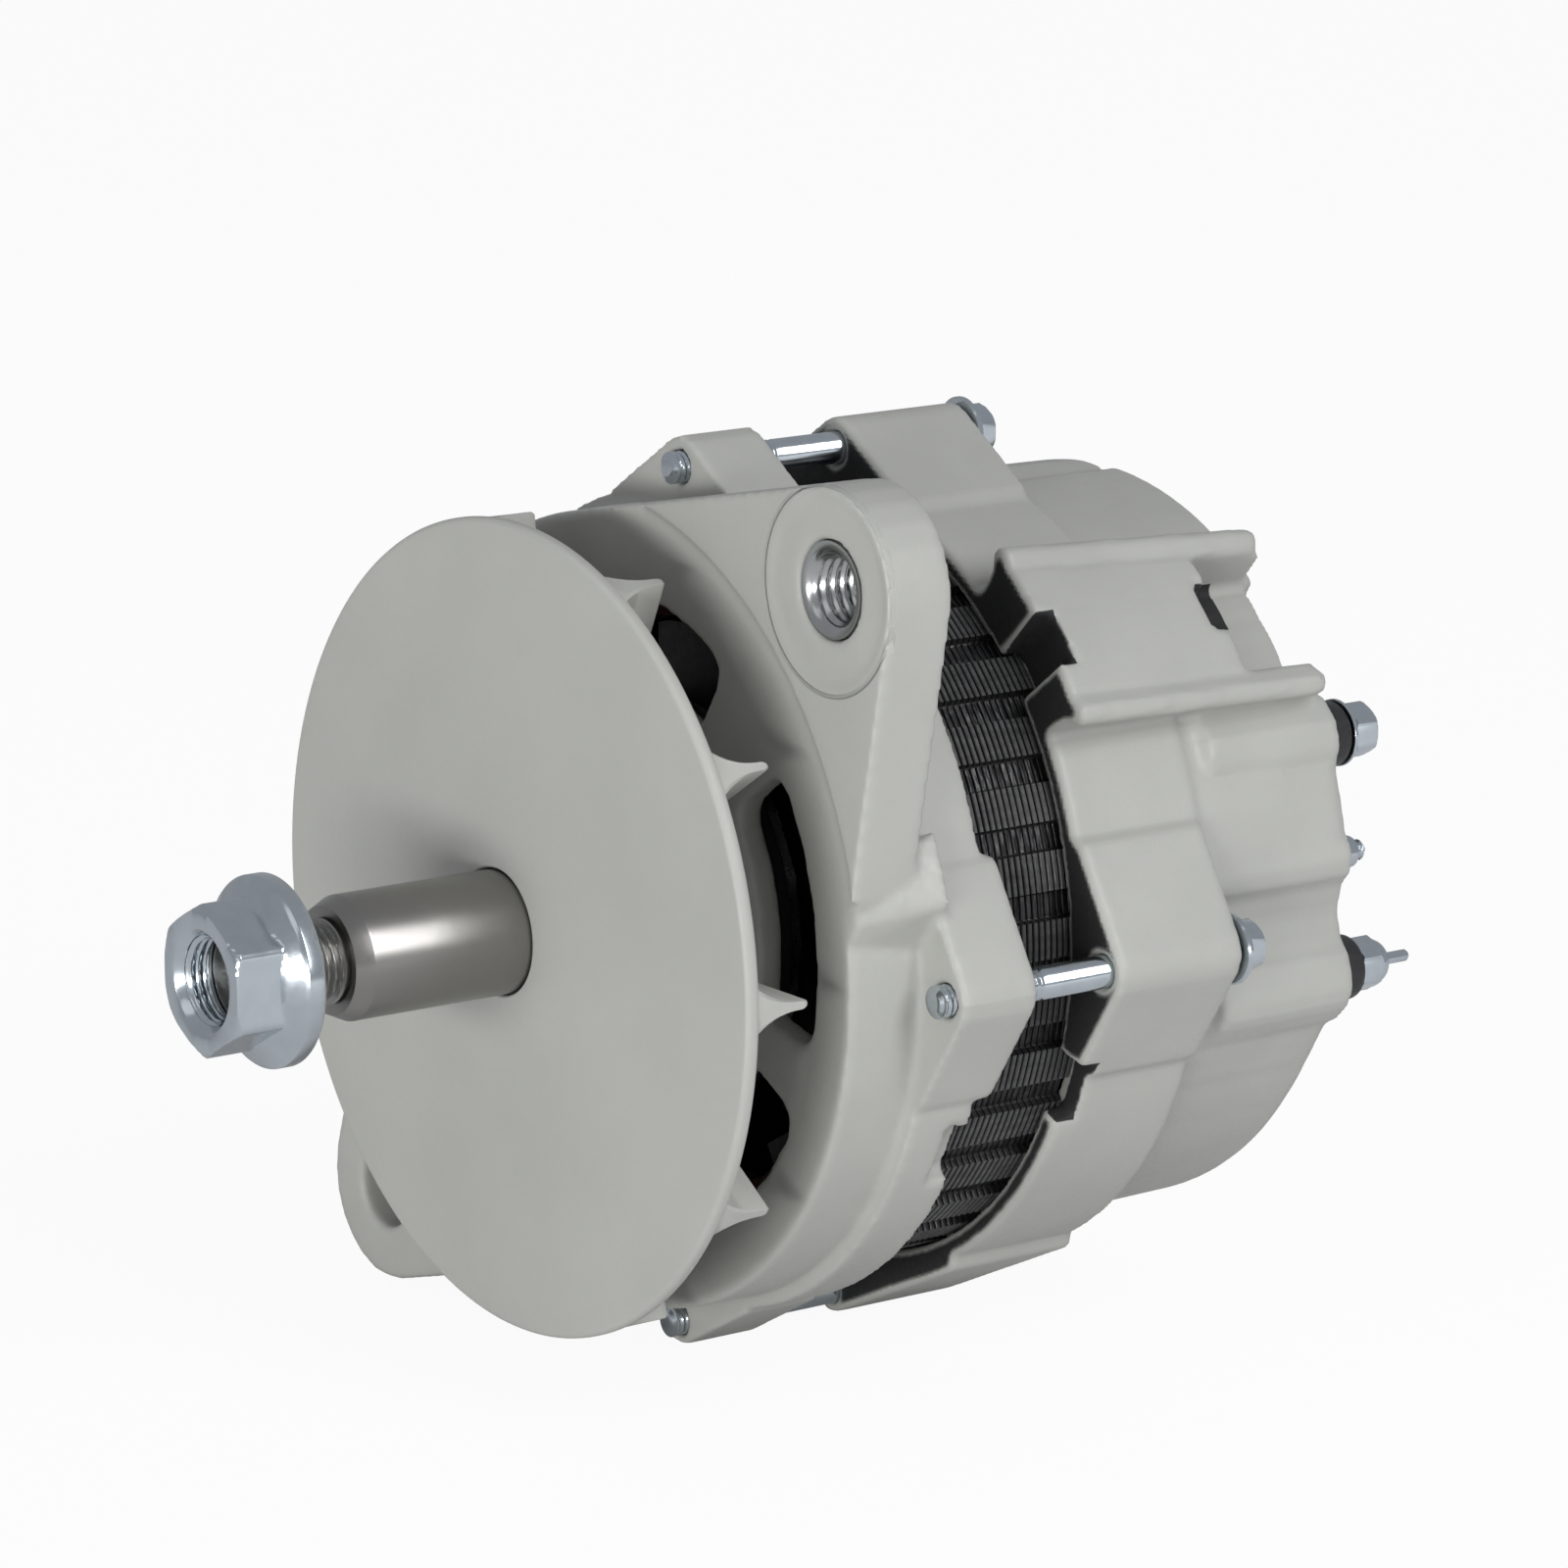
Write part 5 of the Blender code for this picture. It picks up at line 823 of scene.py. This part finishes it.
# The rear hinge ear holds a steel bush, pressed in, that takes up the bracket's length. Its ends are turned bright.
hinge_circle, hinge_turn = 94.3 * MM, math.radians(225.8)
bush_front, bush_rear, bush_radius, bush_bore = 155.2 * MM, 173.2 * MM, 10.3 * MM, 7.7 * MM
bush_break, bush_mouth = 0.3 * MM, 0.4 * MM
hinge_place = (hinge_circle * math.sin(hinge_turn), hinge_circle * math.cos(hinge_turn))
turned_steel = metal("turned steel", (0.50, 0.50, 0.49, 1), 0.30, 3600)
rows = [(bush_front, bush_bore + bush_mouth), (bush_front, bush_radius - bush_break)]
rows += [(bush_front + bush_break, bush_radius), (bush_rear - bush_break, bush_radius)]
rows += [(bush_rear, bush_radius - bush_break), (bush_rear, bush_bore + bush_mouth)]
rows += [(bush_rear - bush_mouth, bush_bore), (bush_front + bush_mouth, bush_bore)]
piece_from(spun(rows, 96, True, hinge_place), "hinge_bush", turned_steel, "housing", "hinge_bushing")


# What is inside keeps its plain solids: ball bearings, claw poles and field coil, slip rings, brushes in their
# holder, the winding, and the rectifier and regulator behind. Each gets the finish of its own trade.
def dressed(material, *nodes):
    """Gives CAD solids a material in all their slots."""
    for node in nodes:
        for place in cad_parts[node].material_slots:
            place.material = material


def coated(name, colour, roughness, grain, depth):
    """A painted, moulded or varnished skin with its own grain."""
    made, tree, main = shader_tree(name, colour, roughness, 0.0)
    tinted(tree, main, colour, remap(tree, noise(tree, grain / 3, 4), 0.75, 1.25))
    tree.links.new(remap(tree, noise(tree, grain, 2), roughness * 0.85, roughness * 1.15), main.inputs["Roughness"])
    bumped(tree, main, noise(tree, grain * 2, 3), depth, 0.5)
    return made


varnished = coated("varnished copper", (0.085, 0.030, 0.014, 1), 0.34, 700, 0.25 * MM)
pole_iron = metal("pole iron", (0.10, 0.10, 0.10, 1), 0.48, 1500)
ring_bronze = metal("ring bronze", (0.62, 0.36, 0.20, 1), 0.22, 4200)
extruded_aluminium = metal("extruded aluminium", (0.55, 0.56, 0.57, 1), 0.38, None)
carbon = coated("brush carbon", (0.022, 0.022, 0.023, 1), 0.62, 1600, 0.08 * MM)
tin_plate = metal("tin plate", (0.60, 0.60, 0.58, 1), 0.32, None)
dressed(turned_steel, "fan_spacer", "front_bearing_inner_race", "front_bearing_outer_race", "front_bearing_ball_cage")
dressed(turned_steel, "rear_bearing_inner_race", "rear_bearing_outer_race", "rear_bearing_ball_cage")
dressed(turned_steel, "bearing_retainer", "front_brush_spring", "rear_brush_spring")
dressed(zinc, "retainer_screw_1", "retainer_screw_2", "retainer_screw_3")
dressed(varnished, "stator_winding", "field_coil")
dressed(pole_iron, "front_pole_piece", "rear_pole_piece")
dressed(ring_bronze, "front_slip_ring", "rear_slip_ring")
dressed(moulding, "slip_ring_sleeve", "brush_holder", "voltage_regulator", "diode_trio")
dressed(carbon, "front_brush", "rear_brush")
dressed(extruded_aluminium, "negative_heat_sink", "positive_heat_sink", "capacitor")
dressed(tin_plate, "diode_1", "diode_2", "diode_3", "diode_4", "diode_5", "diode_6")
dressed(tin_plate, "heat_sink_spacer_1", "heat_sink_spacer_2")
